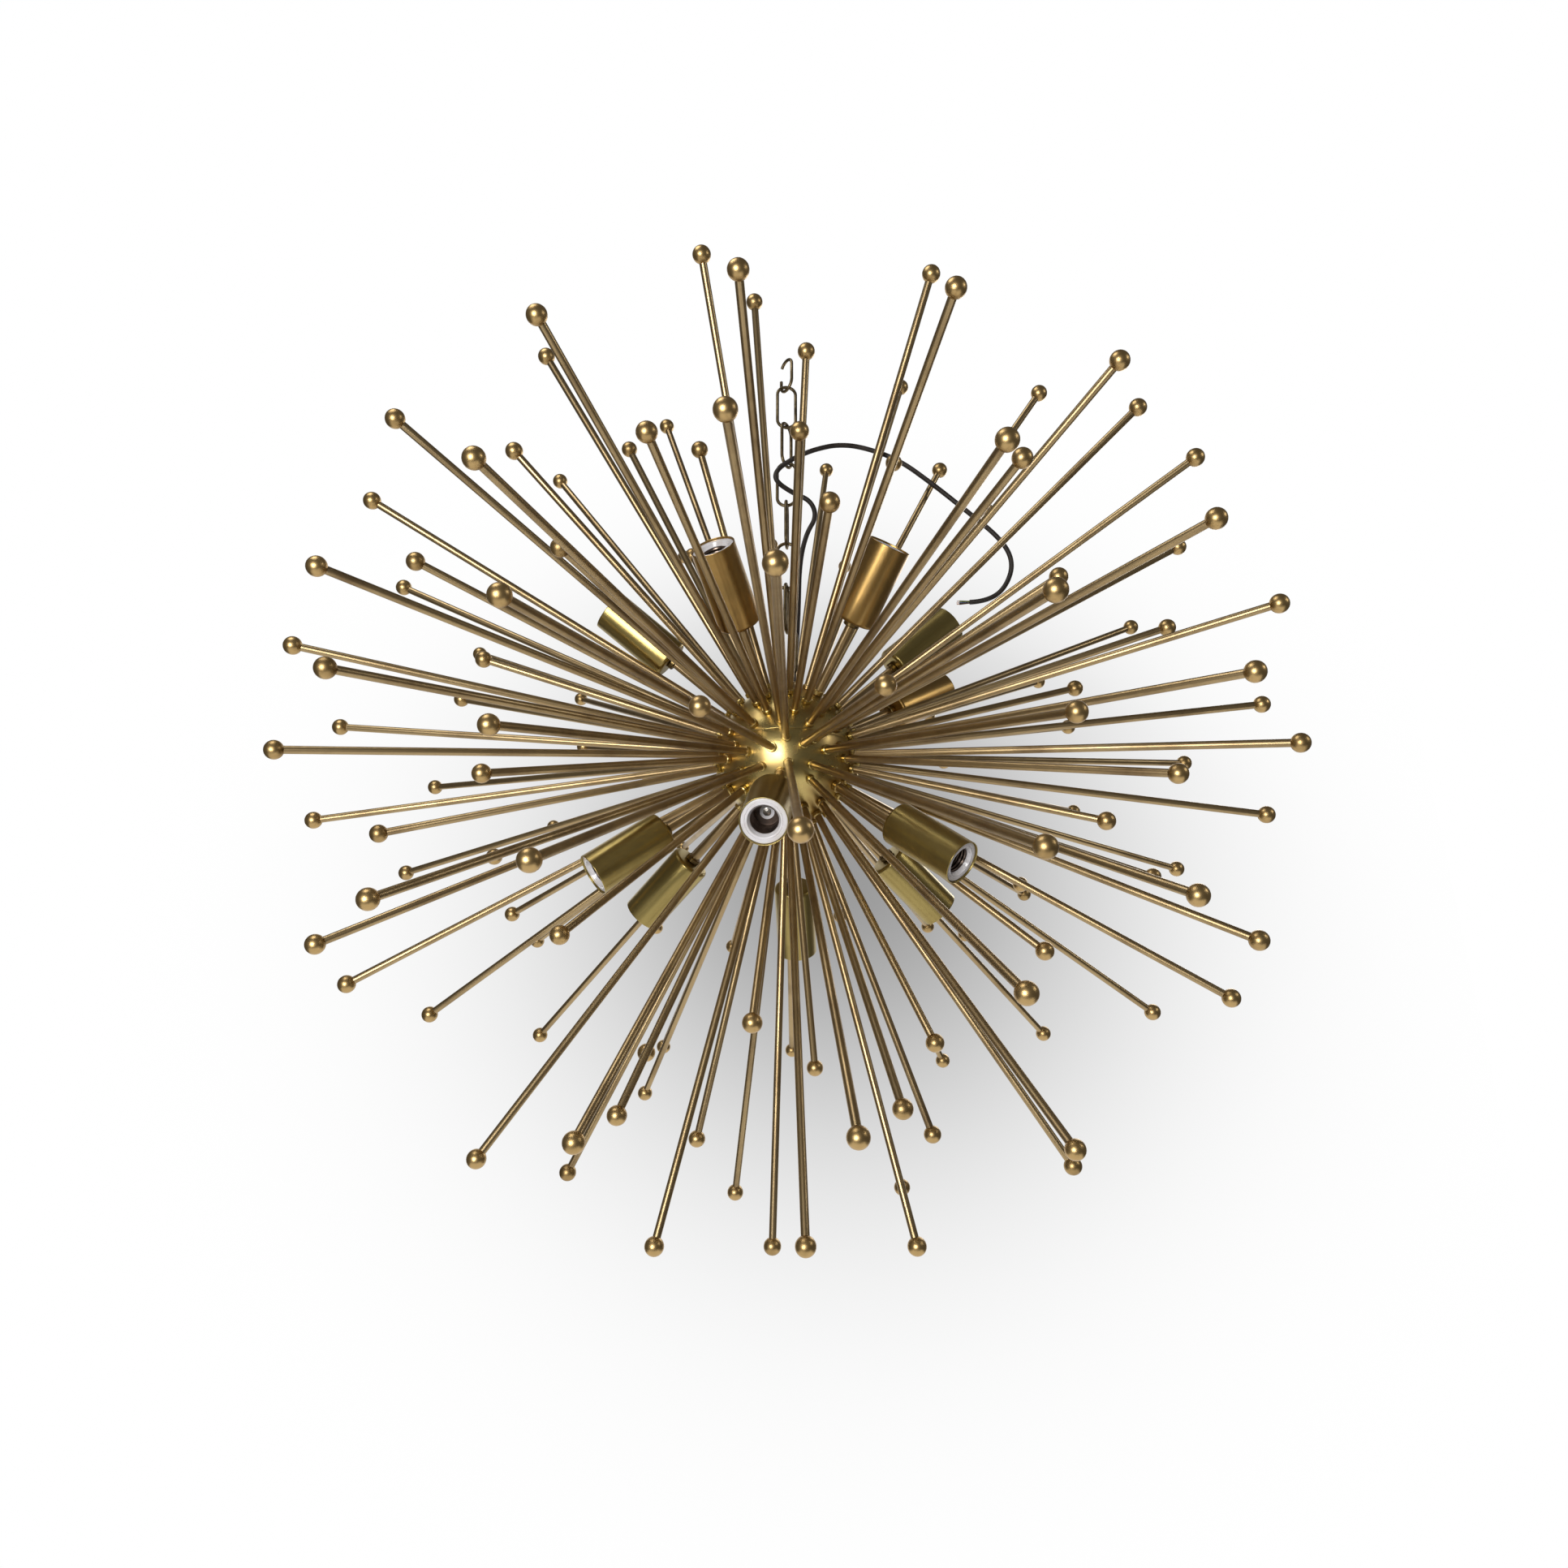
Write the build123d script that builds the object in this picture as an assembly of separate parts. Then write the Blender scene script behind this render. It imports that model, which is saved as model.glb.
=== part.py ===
from build123d import *
import math
import os

# Sputnik chandelier: a hollow ball of two half shells, radial rods with ball tips, lamp cups and a chain.
# Millimetres, +Z up. The origin is the seat of the open top hook, where the lamp hangs from its ceiling hook.

# ---- sizes -------------------------------------------------------------------------------------------------
HANG_DROP = 549.0                # hook seat down to the centre of the ball
BALL_R = 78.0                    # outside of the two half shells
SHELL_WALL = 1.5
LIP_HEIGHT = 1.2                 # lip of the lower shell inside the upper one
LIP_ROOT = 1.0                   # part of the lip below the seam
LIP_WALL = 0.9
LIP_CLEARANCE = 0.1

ROD_R = 4.0
ROD_WALL = 0.8
ROD_TAIL_R = 67.5                # where the inner rod ends are, from the ball's centre
ROD_HOLE_CLEARANCE = 0.1
LONG_REACH = 530.0               # ball centre to tip centre
MEDIUM_REACH = 443.0
SHORT_REACH = 358.0
TIP_R = 9.5
TIP_BORE_CLEARANCE = 0.05
TIP_BORE_DEPTH = 8.0
COLLAR_R = 5.5                   # collar at the foot of a rod
COLLAR_HEIGHT = 5.0
COLLAR_EASE = 0.5
NUT_R = 5.25                     # ring nut on a rod, inside the ball
NUT_HEIGHT = 4.0
THREAD_CLEARANCE = 0.05

STEM_R = 5.0                     # pipe that carries a lamp cup
STEM_BORE_R = 3.5
STEM_TAIL_R = 66.0
STEM_COLLAR_R = 6.5
STEM_COLLAR_HEIGHT = 6.0
STEM_NUT_R = 6.5
NECK_R = 8.5                     # collar right behind a cup
NECK_HEIGHT = 6.0
NECK_EASE = 1.0
CUP_R = 23.25
CUP_WALL = 1.0
CUP_BASE_WALL = 1.5
CUP_BASE_REACH = 168.0           # ball centre to the outside of a cup's base
CUP_LENGTH = 90.0
CUP_BASE_FILLET = 4.0
LOCK_NUT_R = 8.0
LOCK_NUT_HEIGHT = 4.0

PORCELAIN_CLEARANCE = 0.05       # around the holder, inside the cup
PORCELAIN_SINK = 1.7             # holder's face below the cup's lip
PORCELAIN_FRONT = 50.0
PORCELAIN_REAR_R = 18.0
PORCELAIN_EDGE = 1.5
MOUTH_R = 15.5
MOUTH_DEPTH = 4.0
SCREW_SHELL_BORE_R = 13.3        # medium Edison screw
SCREW_SHELL_WALL = 0.4
SCREW_SHELL_LENGTH = 26.0
SCREW_SHELL_FLOOR = 0.6
SHELL_SEAT_CLEARANCE = 0.1
SHELL_FLOOR_HOLE_R = 7.0
CONTACT_R = 4.0
CONTACT_HEIGHT = 0.5
LEAD_HOLE_R = 3.5
LEAD_R = 2.0
CONNECTOR_R = 4.0
CONNECTOR_INNER_REACH = 24.0
CONNECTOR_LENGTH = 12.0

PIPE_R = 5.0                     # threaded pipe through both poles
PIPE_BORE_R = 3.6
PIPE_HALF_LENGTH = 86.0
PIPE_NUT_R = 6.5
PIPE_NUT_HEIGHT = 4.0
PIPE_HOLE_CLEARANCE = 0.1
CAP_R = 11.0
CAP_BOTTOM = 89.0                # cap nut's end below the ball's centre
CAP_FILLET = 2.5

SADDLE_R = 14.0                  # foot of the hang loop on the ball
SADDLE_TOP = 88.0
SADDLE_EASE = 1.0
RING_BORE_R = 8.0
RING_WIRE_R = 2.5
RING_CENTRE = 93.0
RING_YAW = 80.0
WIREWAY_X = 7.5
WIREWAY_Y = 6.5
WIREWAY_R = 2.6                  # smaller than the cord, whose end sits on the foot around it
FEED_R = 1.1                     # three supply wires below the cord's jacket
FEED_PITCH_R = 1.32
FEED_END = 40.0
FEED_CAP_R = 3.7
FEED_CAP_LENGTH = 15.0

WIRE_R = 2.0                     # chain
LINK_PITCH = 58.0                # inside length of a link
LINK_HALF_WIDTH = 11.5           # axis of the link to the middle of its wire
HOOK_PITCH = 42.0
LOOSE_GAP = 0.3                  # between links that swing on each other
RESTING_GAP = 0.0                # between links that hang at rest
LOWEST_CONTACT = 101.0           # where the last link carries the hang loop
LINK_YAWS = [5.0, 60.0, -5.0, 85.0, 0.0, 80.0, -10.0]
HOOK_YAW = -55.0
HOOK_TIP_TURN = 150.0            # how far the hook's top bend goes round
HOOK_STUB = 9.0                  # straight piece on the hook's open side

CORD_R = 3.0
STRIP_R = 1.0                    # bare-ended wires at the cord's free end
STRIP_LENGTH = 16.0
STRIP_PITCH_R = 1.25

WIDE_RING_COUNT = 16
MIDDLE_RING_COUNT = 8
POLE_RING_COUNT = 4
# Rings of rods: reach, latitude from the seam, first longitude, number. Longitude 0 faces -Y, +90 faces +X.
UPPER_RINGS = [
    (LONG_REACH, 6.0, -5.0, WIDE_RING_COUNT),
    (MEDIUM_REACH, 16.5, -16.25, MIDDLE_RING_COUNT),
    (SHORT_REACH, 16.5, 6.25, MIDDLE_RING_COUNT),
    (LONG_REACH, 27.0, -5.0, WIDE_RING_COUNT),
    (LONG_REACH, 54.0, 28.75, MIDDLE_RING_COUNT),
    (MEDIUM_REACH, 64.0, 6.25, POLE_RING_COUNT),
    (SHORT_REACH, 64.0, 51.25, POLE_RING_COUNT),
    (LONG_REACH, 73.0, -14.0, POLE_RING_COUNT),
]
LOWER_RINGS = [
    (LONG_REACH, -8.0, -1.0, WIDE_RING_COUNT),
    (MEDIUM_REACH, -15.5, 10.25, MIDDLE_RING_COUNT),
    (SHORT_REACH, -15.5, -12.25, MIDDLE_RING_COUNT),
    (LONG_REACH, -29.0, -1.0, WIDE_RING_COUNT),
    (LONG_REACH, -55.5, 10.25, MIDDLE_RING_COUNT),
    (MEDIUM_REACH, -65.0, 32.75, POLE_RING_COUNT),
    (SHORT_REACH, -65.0, -12.25, POLE_RING_COUNT),
    (LONG_REACH, -76.0, 7.0, POLE_RING_COUNT),
]
# Rods that stand out of their ring: ring, place in it, then reach, latitude, longitude.
UPPER_STRAYS = {
    (0, 1): (LONG_REACH, 5.0, 18.0),
    (0, 2): (LONG_REACH, 6.0, 43.0),
    (0, 4): (LONG_REACH, 5.0, 86.0),
    (0, 14): (LONG_REACH, 5.0, -52.0),
    (1, 2): (MEDIUM_REACH, 16.0, 80.0),
    (3, 4): (LONG_REACH, 29.0, 87.0),
    (3, 14): (LONG_REACH, 24.0, -50.0),
    (7, 1): (LONG_REACH, 74.0, 90.0),
    (7, 2): (LONG_REACH, 71.0, 161.0),
    (7, 3): (LONG_REACH, 71.0, -113.0),
}
LOWER_STRAYS = {
    (0, 2): (LONG_REACH, -8.0, 47.0),
    (0, 6): (LONG_REACH, -5.0, 140.0),
    (0, 10): (LONG_REACH, -13.0, -138.0),
    (1, 0): (SHORT_REACH, -12.5, 13.5),
    (2, 1): (MEDIUM_REACH, -14.5, 33.0),
    (2, 2): (SHORT_REACH, -19.0, 71.0),
    (3, 0): (LONG_REACH, -28.0, 1.0),
    (3, 1): (LONG_REACH, -28.0, 23.0),
    (3, 4): (LONG_REACH, -32.0, 85.0),
    (3, 7): (LONG_REACH, -32.0, 152.0),
    (4, 3): (LONG_REACH, -58.0, 151.0),
    (4, 4): (LONG_REACH, -59.0, -167.0),
}
# Rods between the lamps, one by one.
UPPER_SINGLES = [
    (LONG_REACH, 37.0, 62.0),
    (LONG_REACH, 38.5, 131.5),
    (MEDIUM_REACH, 40.0, -60.0),
    (SHORT_REACH, 40.0, 2.5),
]
LOWER_SINGLES = [
    (LONG_REACH, -40.0, 25.5),
    (LONG_REACH, -38.0, -153.5),
    (SHORT_REACH, -42.0, 75.0),
    (SHORT_REACH, -43.0, -54.0),
]
# Lamp cups: latitude and longitude.
UPPER_LAMPS = [
    (35.0, -21.0),
    (44.0, 36.0),
    (37.0, -75.0),
    (42.0, 93.0),
    (31.0, 119.0),
    (36.0, -174.0),
]
LOWER_LAMPS = [
    (-36.5, -77.5),
    (-36.0, -126.0),
    (-36.0, -6.0),
    (-38.0, 59.0),
    (-35.0, 122.5),
    (-44.0, 176.0),
]

# Middle line of the cord, from the hang loop's foot: x, y, height above the ball's centre.
CORD_ROUTE = [
    (WIREWAY_X, WIREWAY_Y, SADDLE_TOP),
    (WIREWAY_X, WIREWAY_Y, 104.0),
    (11.5, 9.5, 140.0),
    (14.0, 11.0, 195.0),
    (15.5, 10.0, 256.0),
    (24.0, 10.5, 298.0),
    (37.0, 9.0, 321.0),
    (30.0, 8.0, 344.0),
    (8.0, 7.0, 354.0),
    (-14.0, -11.0, 359.0),
    (-13.0, -15.0, 372.0),
    (6.0, -15.0, 388.0),
    (24.0, -12.0, 400.0),
    (40.0, -3.0, 413.0),
    (63.0, 4.0, 424.0),
    (93.0, 10.0, 426.0),
    (140.0, 14.0, 410.0),
    (181.0, 5.0, 366.0),
    (220.0, 9.0, 331.0),
    (265.5, 22.0, 296.5),
    (280.7, 36.0, 270.9),
    (268.6, 46.0, 240.2),
    (244.7, 50.0, 226.1),
    (225.6, 52.0, 226.2),
]
CORD_RADIUS_SHARE = 0.45         # of the shorter run beside a bend

# ---- helpers -----------------------------------------------------------------------------------------------
os.makedirs("parts", exist_ok=True)
CENTRE = Vector(0, 0, -HANG_DROP)
UPRIGHT = (Align.CENTER, Align.CENTER, Align.MIN)


def heading(lat, lon):
    la = math.radians(lat)
    lo = math.radians(lon)
    return Vector(math.cos(la) * math.sin(lo), -math.cos(la) * math.cos(lo), math.sin(la))


def placed(shape, lat, lon):
    return Plane(origin=CENTRE, z_dir=heading(lat, lon)).location * shape


def disc(radius, start, end):
    return Pos(0, 0, start) * Cylinder(radius, end - start, align=UPRIGHT)


def tube(radius, bore, start, end):
    return disc(radius, start, end) - disc(bore, start, end)


def spun(points):
    outline = Plane.XZ * make_face(Polyline(points, close=True))
    return revolve(outline, axis=Axis.Z)


def save(name, shapes):
    solids = []
    for shape in shapes:
        solids.extend(shape.solids())
    if len(solids) == 1:
        body = solids[0]
    else:
        body = Compound(children=solids)
    body.label = name
    export_step(body, "parts/" + name + ".step")
    volume = sum(solid.volume for solid in solids)
    print(name, len(solids), "solids", round(volume, 1), "mm3")


def rods_of(rings, strays, singles):
    rods = []
    for ring_no, ring in enumerate(rings):
        reach, lat, first, number = ring
        for place in range(number):
            rod = (reach, lat, first + 360.0 * place / number)
            rods.append(strays.get((ring_no, place), rod))
    rods.extend(singles)
    return rods


UPPER_RODS = rods_of(UPPER_RINGS, UPPER_STRAYS, UPPER_SINGLES)
LOWER_RODS = rods_of(LOWER_RINGS, LOWER_STRAYS, LOWER_SINGLES)

# ---- ball --------------------------------------------------------------------------------------------------
SHELL_R = BALL_R - SHELL_WALL
ROD_HOLE_R = ROD_R + ROD_HOLE_CLEARANCE
STEM_HOLE_R = STEM_R + ROD_HOLE_CLEARANCE
PIPE_HOLE_R = PIPE_R + PIPE_HOLE_CLEARANCE
POLE_CUT = BALL_R                # long enough to cut a pole through


def shell_half(side, rods, lamps):
    ball = Sphere(BALL_R) - Sphere(SHELL_R)
    half = ball & Pos(0, 0, side * BALL_R) * Box(4 * BALL_R, 4 * BALL_R, 2 * BALL_R)
    if side < 0:
        lip_r = SHELL_R - LIP_CLEARANCE
        root = tube(SHELL_R + SHELL_WALL / 2, lip_r - LIP_WALL, -LIP_ROOT, 0)
        lip = tube(lip_r, lip_r - LIP_WALL, 0, LIP_HEIGHT)
        half = half + (root + lip)
    pole = side * BALL_R
    half = half - Pos(0, 0, pole) * Cylinder(PIPE_HOLE_R, POLE_CUT)
    if side > 0:
        half = half - Pos(WIREWAY_X, WIREWAY_Y, pole) * Cylinder(WIREWAY_R, POLE_CUT)
    half = Pos(CENTRE) * half
    holes = []
    for reach, lat, lon in rods:
        holes.append(placed(disc(ROD_HOLE_R, ROD_TAIL_R, BALL_R + 5), lat, lon))
    for lat, lon in lamps:
        holes.append(placed(disc(STEM_HOLE_R, ROD_TAIL_R, BALL_R + 5), lat, lon))
    return half - holes


save("upper_half_shell", [shell_half(1, UPPER_RODS, UPPER_LAMPS)])
save("lower_half_shell", [shell_half(-1, LOWER_RODS, LOWER_LAMPS)])

# ---- rods --------------------------------------------------------------------------------------------------
COLLAR_SEAT = math.sqrt(BALL_R ** 2 - ROD_HOLE_R ** 2)
NUT_SEAT = math.sqrt(SHELL_R ** 2 - NUT_R ** 2) - 0.02
THREAD_BORE_R = ROD_R + THREAD_CLEARANCE


def rod_shape(reach):
    end = reach - TIP_R + TIP_BORE_DEPTH
    return tube(ROD_R, ROD_R - ROD_WALL, ROD_TAIL_R, end)


def tip_shape(reach):
    ball = Pos(0, 0, reach) * Sphere(TIP_R)
    bore_r = ROD_R + TIP_BORE_CLEARANCE
    return ball - disc(bore_r, reach - TIP_R - 2, reach - TIP_R + TIP_BORE_DEPTH)


def collar_shape(bore_r, radius, height, seat, ease):
    top = seat + height
    return spun([
        (bore_r, seat),
        (radius, seat),
        (radius, top - ease),
        (radius - ease, top),
        (bore_r, top),
    ])


collar = collar_shape(THREAD_BORE_R, COLLAR_R, COLLAR_HEIGHT, COLLAR_SEAT, COLLAR_EASE)
nut = tube(NUT_R, THREAD_BORE_R, NUT_SEAT - NUT_HEIGHT, NUT_SEAT)
LENGTHS = {"long": LONG_REACH, "medium": MEDIUM_REACH, "short": SHORT_REACH}

for side, rods in (("upper", UPPER_RODS), ("lower", LOWER_RODS)):
    for word, reach in LENGTHS.items():
        rod = rod_shape(reach)
        tip = tip_shape(reach)
        where = [(lat, lon) for own, lat, lon in rods if own == reach]
        save(side + "_" + word + "_rods", [placed(rod, lat, lon) for lat, lon in where])
        save(side + "_" + word + "_tips", [placed(tip, lat, lon) for lat, lon in where])
    save(side + "_rod_collars", [placed(collar, lat, lon) for own, lat, lon in rods])
    save(side + "_rod_nuts", [placed(nut, lat, lon) for own, lat, lon in rods])

# ---- lamps -------------------------------------------------------------------------------------------------
STEM_SEAT = math.sqrt(BALL_R ** 2 - STEM_HOLE_R ** 2)
STEM_NUT_SEAT = math.sqrt(SHELL_R ** 2 - STEM_NUT_R ** 2) - 0.02
STEM_THREAD_R = STEM_R + THREAD_CLEARANCE
CUP_FLOOR = CUP_BASE_REACH + CUP_BASE_WALL
CUP_END = CUP_BASE_REACH + CUP_LENGTH
HOLDER_BOTTOM = CUP_FLOOR + LOCK_NUT_HEIGHT
HOLDER_FACE = CUP_END - PORCELAIN_SINK
HOLDER_R = CUP_R - CUP_WALL - PORCELAIN_CLEARANCE
HOLDER_SHOULDER = HOLDER_FACE - PORCELAIN_FRONT
SEAT_TOP = HOLDER_FACE - MOUTH_DEPTH
SEAT_FLOOR = SEAT_TOP - SCREW_SHELL_LENGTH - SCREW_SHELL_FLOOR
SCREW_SHELL_R = SCREW_SHELL_BORE_R + SCREW_SHELL_WALL
SHELL_SEAT_R = SCREW_SHELL_R + SHELL_SEAT_CLEARANCE

stem = tube(STEM_R, STEM_BORE_R, STEM_TAIL_R, HOLDER_BOTTOM)
stem_collar = collar_shape(STEM_THREAD_R, STEM_COLLAR_R, STEM_COLLAR_HEIGHT, STEM_SEAT, COLLAR_EASE)
stem_nut = tube(STEM_NUT_R, STEM_THREAD_R, STEM_NUT_SEAT - NUT_HEIGHT, STEM_NUT_SEAT)
neck = spun([
    (STEM_THREAD_R, CUP_BASE_REACH - NECK_HEIGHT),
    (NECK_R - NECK_EASE, CUP_BASE_REACH - NECK_HEIGHT),
    (NECK_R, CUP_BASE_REACH - NECK_HEIGHT + NECK_EASE),
    (NECK_R, CUP_BASE_REACH),
    (STEM_THREAD_R, CUP_BASE_REACH),
])
lock_nut = tube(LOCK_NUT_R, STEM_THREAD_R, CUP_FLOOR, HOLDER_BOTTOM)

cup_body = disc(CUP_R, CUP_BASE_REACH, CUP_END)
base_edge = cup_body.edges().sort_by(Axis.Z)[0]
cup_body = fillet(base_edge, CUP_BASE_FILLET)
cup_room = disc(CUP_R - CUP_WALL, CUP_FLOOR, CUP_END + 1)
room_edge = cup_room.edges().sort_by(Axis.Z)[0]
cup_room = fillet(room_edge, CUP_BASE_FILLET - CUP_WALL)
cup = cup_body - cup_room - disc(STEM_THREAD_R, CUP_BASE_REACH - 1, CUP_FLOOR + 1)

holder = spun([
    (LEAD_HOLE_R, HOLDER_BOTTOM),
    (PORCELAIN_REAR_R, HOLDER_BOTTOM),
    (PORCELAIN_REAR_R, HOLDER_SHOULDER),
    (HOLDER_R, HOLDER_SHOULDER + 2),
    (HOLDER_R, HOLDER_FACE - PORCELAIN_EDGE),
    (HOLDER_R - PORCELAIN_EDGE, HOLDER_FACE),
    (MOUTH_R, HOLDER_FACE),
    (SHELL_SEAT_R, SEAT_TOP),
    (SHELL_SEAT_R, SEAT_FLOOR),
    (LEAD_HOLE_R, SEAT_FLOOR),
])
screw_shell = tube(SCREW_SHELL_R, SCREW_SHELL_BORE_R, SEAT_FLOOR, SEAT_TOP)
screw_shell = screw_shell + tube(SCREW_SHELL_BORE_R + 0.1, SHELL_FLOOR_HOLE_R, SEAT_FLOOR, SEAT_FLOOR + SCREW_SHELL_FLOOR)
contact = disc(CONTACT_R, SEAT_FLOOR, SEAT_FLOOR + CONTACT_HEIGHT)
LEAD_START = CONNECTOR_INNER_REACH + CONNECTOR_LENGTH
lead = disc(LEAD_R, LEAD_START, SEAT_FLOOR)
connector = disc(CONNECTOR_R, CONNECTOR_INNER_REACH, LEAD_START)

LAMPS = UPPER_LAMPS + LOWER_LAMPS
for number, (lat, lon) in enumerate(LAMPS):
    save("lamp_cup_" + str(number + 1), [placed(cup, lat, lon)])
for side, lamps in (("upper", UPPER_LAMPS), ("lower", LOWER_LAMPS)):
    save(side + "_lamp_stems", [placed(stem, lat, lon) for lat, lon in lamps])
    save(side + "_lampholders", [placed(holder, lat, lon) for lat, lon in lamps])
    save(side + "_screw_shells", [placed(screw_shell, lat, lon) for lat, lon in lamps])
save("stem_collars", [placed(stem_collar, lat, lon) for lat, lon in LAMPS])
save("stem_nuts", [placed(stem_nut, lat, lon) for lat, lon in LAMPS])
save("cup_neck_collars", [placed(neck, lat, lon) for lat, lon in LAMPS])
save("cup_lock_nuts", [placed(lock_nut, lat, lon) for lat, lon in LAMPS])
save("centre_contacts", [placed(contact, lat, lon) for lat, lon in LAMPS])
save("lamp_leads", [placed(lead, lat, lon) for lat, lon in LAMPS])
save("wire_connectors", [placed(connector, lat, lon) for lat, lon in LAMPS])

# ---- centre pipe, cap and hang loop ------------------------------------------------------------------------
PIPE_THREAD_R = PIPE_R + THREAD_CLEARANCE
pipe = Pos(CENTRE) * tube(PIPE_R, PIPE_BORE_R, -PIPE_HALF_LENGTH, PIPE_HALF_LENGTH)
save("centre_pipe", [pipe])

PIPE_NUT_SEAT = math.sqrt(SHELL_R ** 2 - PIPE_NUT_R ** 2) - 0.02
pipe_nut = tube(PIPE_NUT_R, PIPE_THREAD_R, PIPE_NUT_SEAT - PIPE_NUT_HEIGHT, PIPE_NUT_SEAT)
save("pipe_nuts", [placed(pipe_nut, 90, 0), placed(pipe_nut, -90, 0)])

CAP_SEAT = math.sqrt(BALL_R ** 2 - PIPE_HOLE_R ** 2)
cap = disc(CAP_R, CAP_SEAT, CAP_BOTTOM)
cap = fillet(cap.edges().sort_by(Axis.Z)[-1], CAP_FILLET)
cap = cap - disc(PIPE_THREAD_R, CAP_SEAT - 1, PIPE_HALF_LENGTH)
save("bottom_cap", [placed(cap, -90, 0)])

RING_R = RING_BORE_R + RING_WIRE_R
foot = disc(SADDLE_R, BALL_R - 8, SADDLE_TOP)
foot = chamfer(foot.edges().sort_by(Axis.Z)[-1], SADDLE_EASE)
ring = Pos(0, 0, RING_CENTRE) * Rot(0, 0, RING_YAW) * Rot(90, 0, 0) * Torus(RING_R, RING_WIRE_R)
loop = foot + ring
loop = loop - Sphere(BALL_R)
loop = loop - disc(PIPE_THREAD_R, 0, PIPE_HALF_LENGTH)
loop = loop - Pos(WIREWAY_X, WIREWAY_Y, 0) * disc(WIREWAY_R, 0, 2 * SADDLE_TOP)
save("hang_loop", [Pos(CENTRE) * loop])

feeds = []
feed_caps = []
for turn in (0, 120, 240):
    angle = math.radians(turn)
    spot = Vector(WIREWAY_X + FEED_PITCH_R * math.cos(angle), WIREWAY_Y + FEED_PITCH_R * math.sin(angle), 0)
    feeds.append(Pos(CENTRE + spot) * disc(FEED_R, FEED_END, SADDLE_TOP))
save("supply_wires", feeds)
feed_cap = Pos(WIREWAY_X, WIREWAY_Y, 0) * disc(FEED_CAP_R, FEED_END - FEED_CAP_LENGTH, FEED_END)
save("supply_connector", [Pos(CENTRE) * feed_cap])


# ---- chain -------------------------------------------------------------------------------------------------
def link_wire(bottom, top, yaw):
    low = bottom + LINK_HALF_WIDTH
    high = top - LINK_HALF_WIDTH
    half = LINK_HALF_WIDTH
    right = Line((half, 0, low), (half, 0, high))
    over = ThreePointArc((half, 0, high), (0, 0, top), (-half, 0, high))
    left = Line((-half, 0, high), (-half, 0, low))
    under = ThreePointArc((-half, 0, low), (0, 0, bottom), (half, 0, low))
    wire = Wire([right, over, left, under])
    profile = Plane(origin=(half, 0, low), z_dir=(0, 0, 1)) * Circle(WIRE_R)
    body = sweep(profile, path=wire)
    return Rot(0, 0, yaw) * body


contacts = [LOWEST_CONTACT + LINK_PITCH * (7 - place) for place in range(8)]
for place, yaw in enumerate(LINK_YAWS):
    top_gap = LOOSE_GAP / 2 if place < 3 else RESTING_GAP
    bottom_gap = LOOSE_GAP / 2 if place < 2 else RESTING_GAP
    top_wire = contacts[place] + WIRE_R + top_gap
    bottom_wire = contacts[place + 1] - WIRE_R - bottom_gap
    link = link_wire(bottom_wire, top_wire, yaw)
    print("link", place + 1, "straight leg", round(top_wire - bottom_wire - 2 * LINK_HALF_WIDTH, 3))
    save("chain_link_" + str(place + 1), [Pos(CENTRE) * link])

half = LINK_HALF_WIDTH
hook_top = contacts[0] + HOOK_PITCH + WIRE_R
hook_bottom = contacts[0] - WIRE_R - LOOSE_GAP / 2
hook_high = hook_top - half
hook_low = hook_bottom + half
tip_angle = math.radians(HOOK_TIP_TURN)
mid_angle = tip_angle / 2
hook_tip = (half * math.cos(tip_angle), 0, hook_high + half * math.sin(tip_angle))
hook_mid = (half * math.cos(mid_angle), 0, hook_high + half * math.sin(mid_angle))
hook_path = Wire([
    Line((-half, 0, hook_low + HOOK_STUB), (-half, 0, hook_low)),
    ThreePointArc((-half, 0, hook_low), (0, 0, hook_bottom), (half, 0, hook_low)),
    Line((half, 0, hook_low), (half, 0, hook_high)),
    ThreePointArc((half, 0, hook_high), hook_mid, hook_tip),
])
hook_profile = Plane(origin=(-half, 0, hook_low + HOOK_STUB), z_dir=(0, 0, -1)) * Circle(WIRE_R)
hook = Rot(0, 0, HOOK_YAW) * sweep(hook_profile, path=hook_path)
save("top_hook", [Pos(CENTRE) * hook])

# ---- cord --------------------------------------------------------------------------------------------------
points = [Vector(*spot) for spot in CORD_ROUTE]
radii = []
for place in range(1, len(points) - 1):
    before = points[place] - points[place - 1]
    after = points[place + 1] - points[place]
    turn = math.radians(before.get_angle(after))
    shorter = min(before.length, after.length)
    radius = CORD_RADIUS_SHARE * shorter / math.tan(turn / 2)
    radii.append(min(radius, 400.0))
    print("cord bend", place, "turn", round(math.degrees(turn), 1), "radius", round(radii[-1], 1))
    print("  runs", round(before.length, 1), round(after.length, 1))
middle = FilletPolyline(*points, radius=radii)
cord_profile = Plane(origin=points[0], z_dir=(0, 0, 1)) * Circle(CORD_R)
cord = sweep(cord_profile, path=middle)
print("cord length", round(middle.length, 1), "section x length", round(middle.length * math.pi * CORD_R ** 2, 1))
save("supply_cord", [Pos(CENTRE) * cord])

tail = (points[-1] - points[-2]).normalized()
tail_plane = Plane(origin=points[-1], z_dir=tail)
strips = []
for turn in (90, 210, 330):
    angle = math.radians(turn)
    spot = Pos(STRIP_PITCH_R * math.cos(angle), STRIP_PITCH_R * math.sin(angle), 0)
    strips.append(Pos(CENTRE) * tail_plane.location * spot * disc(STRIP_R, 0, STRIP_LENGTH))
save("cord_end_wires", strips)
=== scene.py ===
import math

import bmesh
import bpy
from bpy.props import FloatProperty, FloatVectorProperty, IntProperty, PointerProperty
from bpy.types import Operator, Panel, PropertyGroup
from mathutils import Euler, Matrix, Vector


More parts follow.
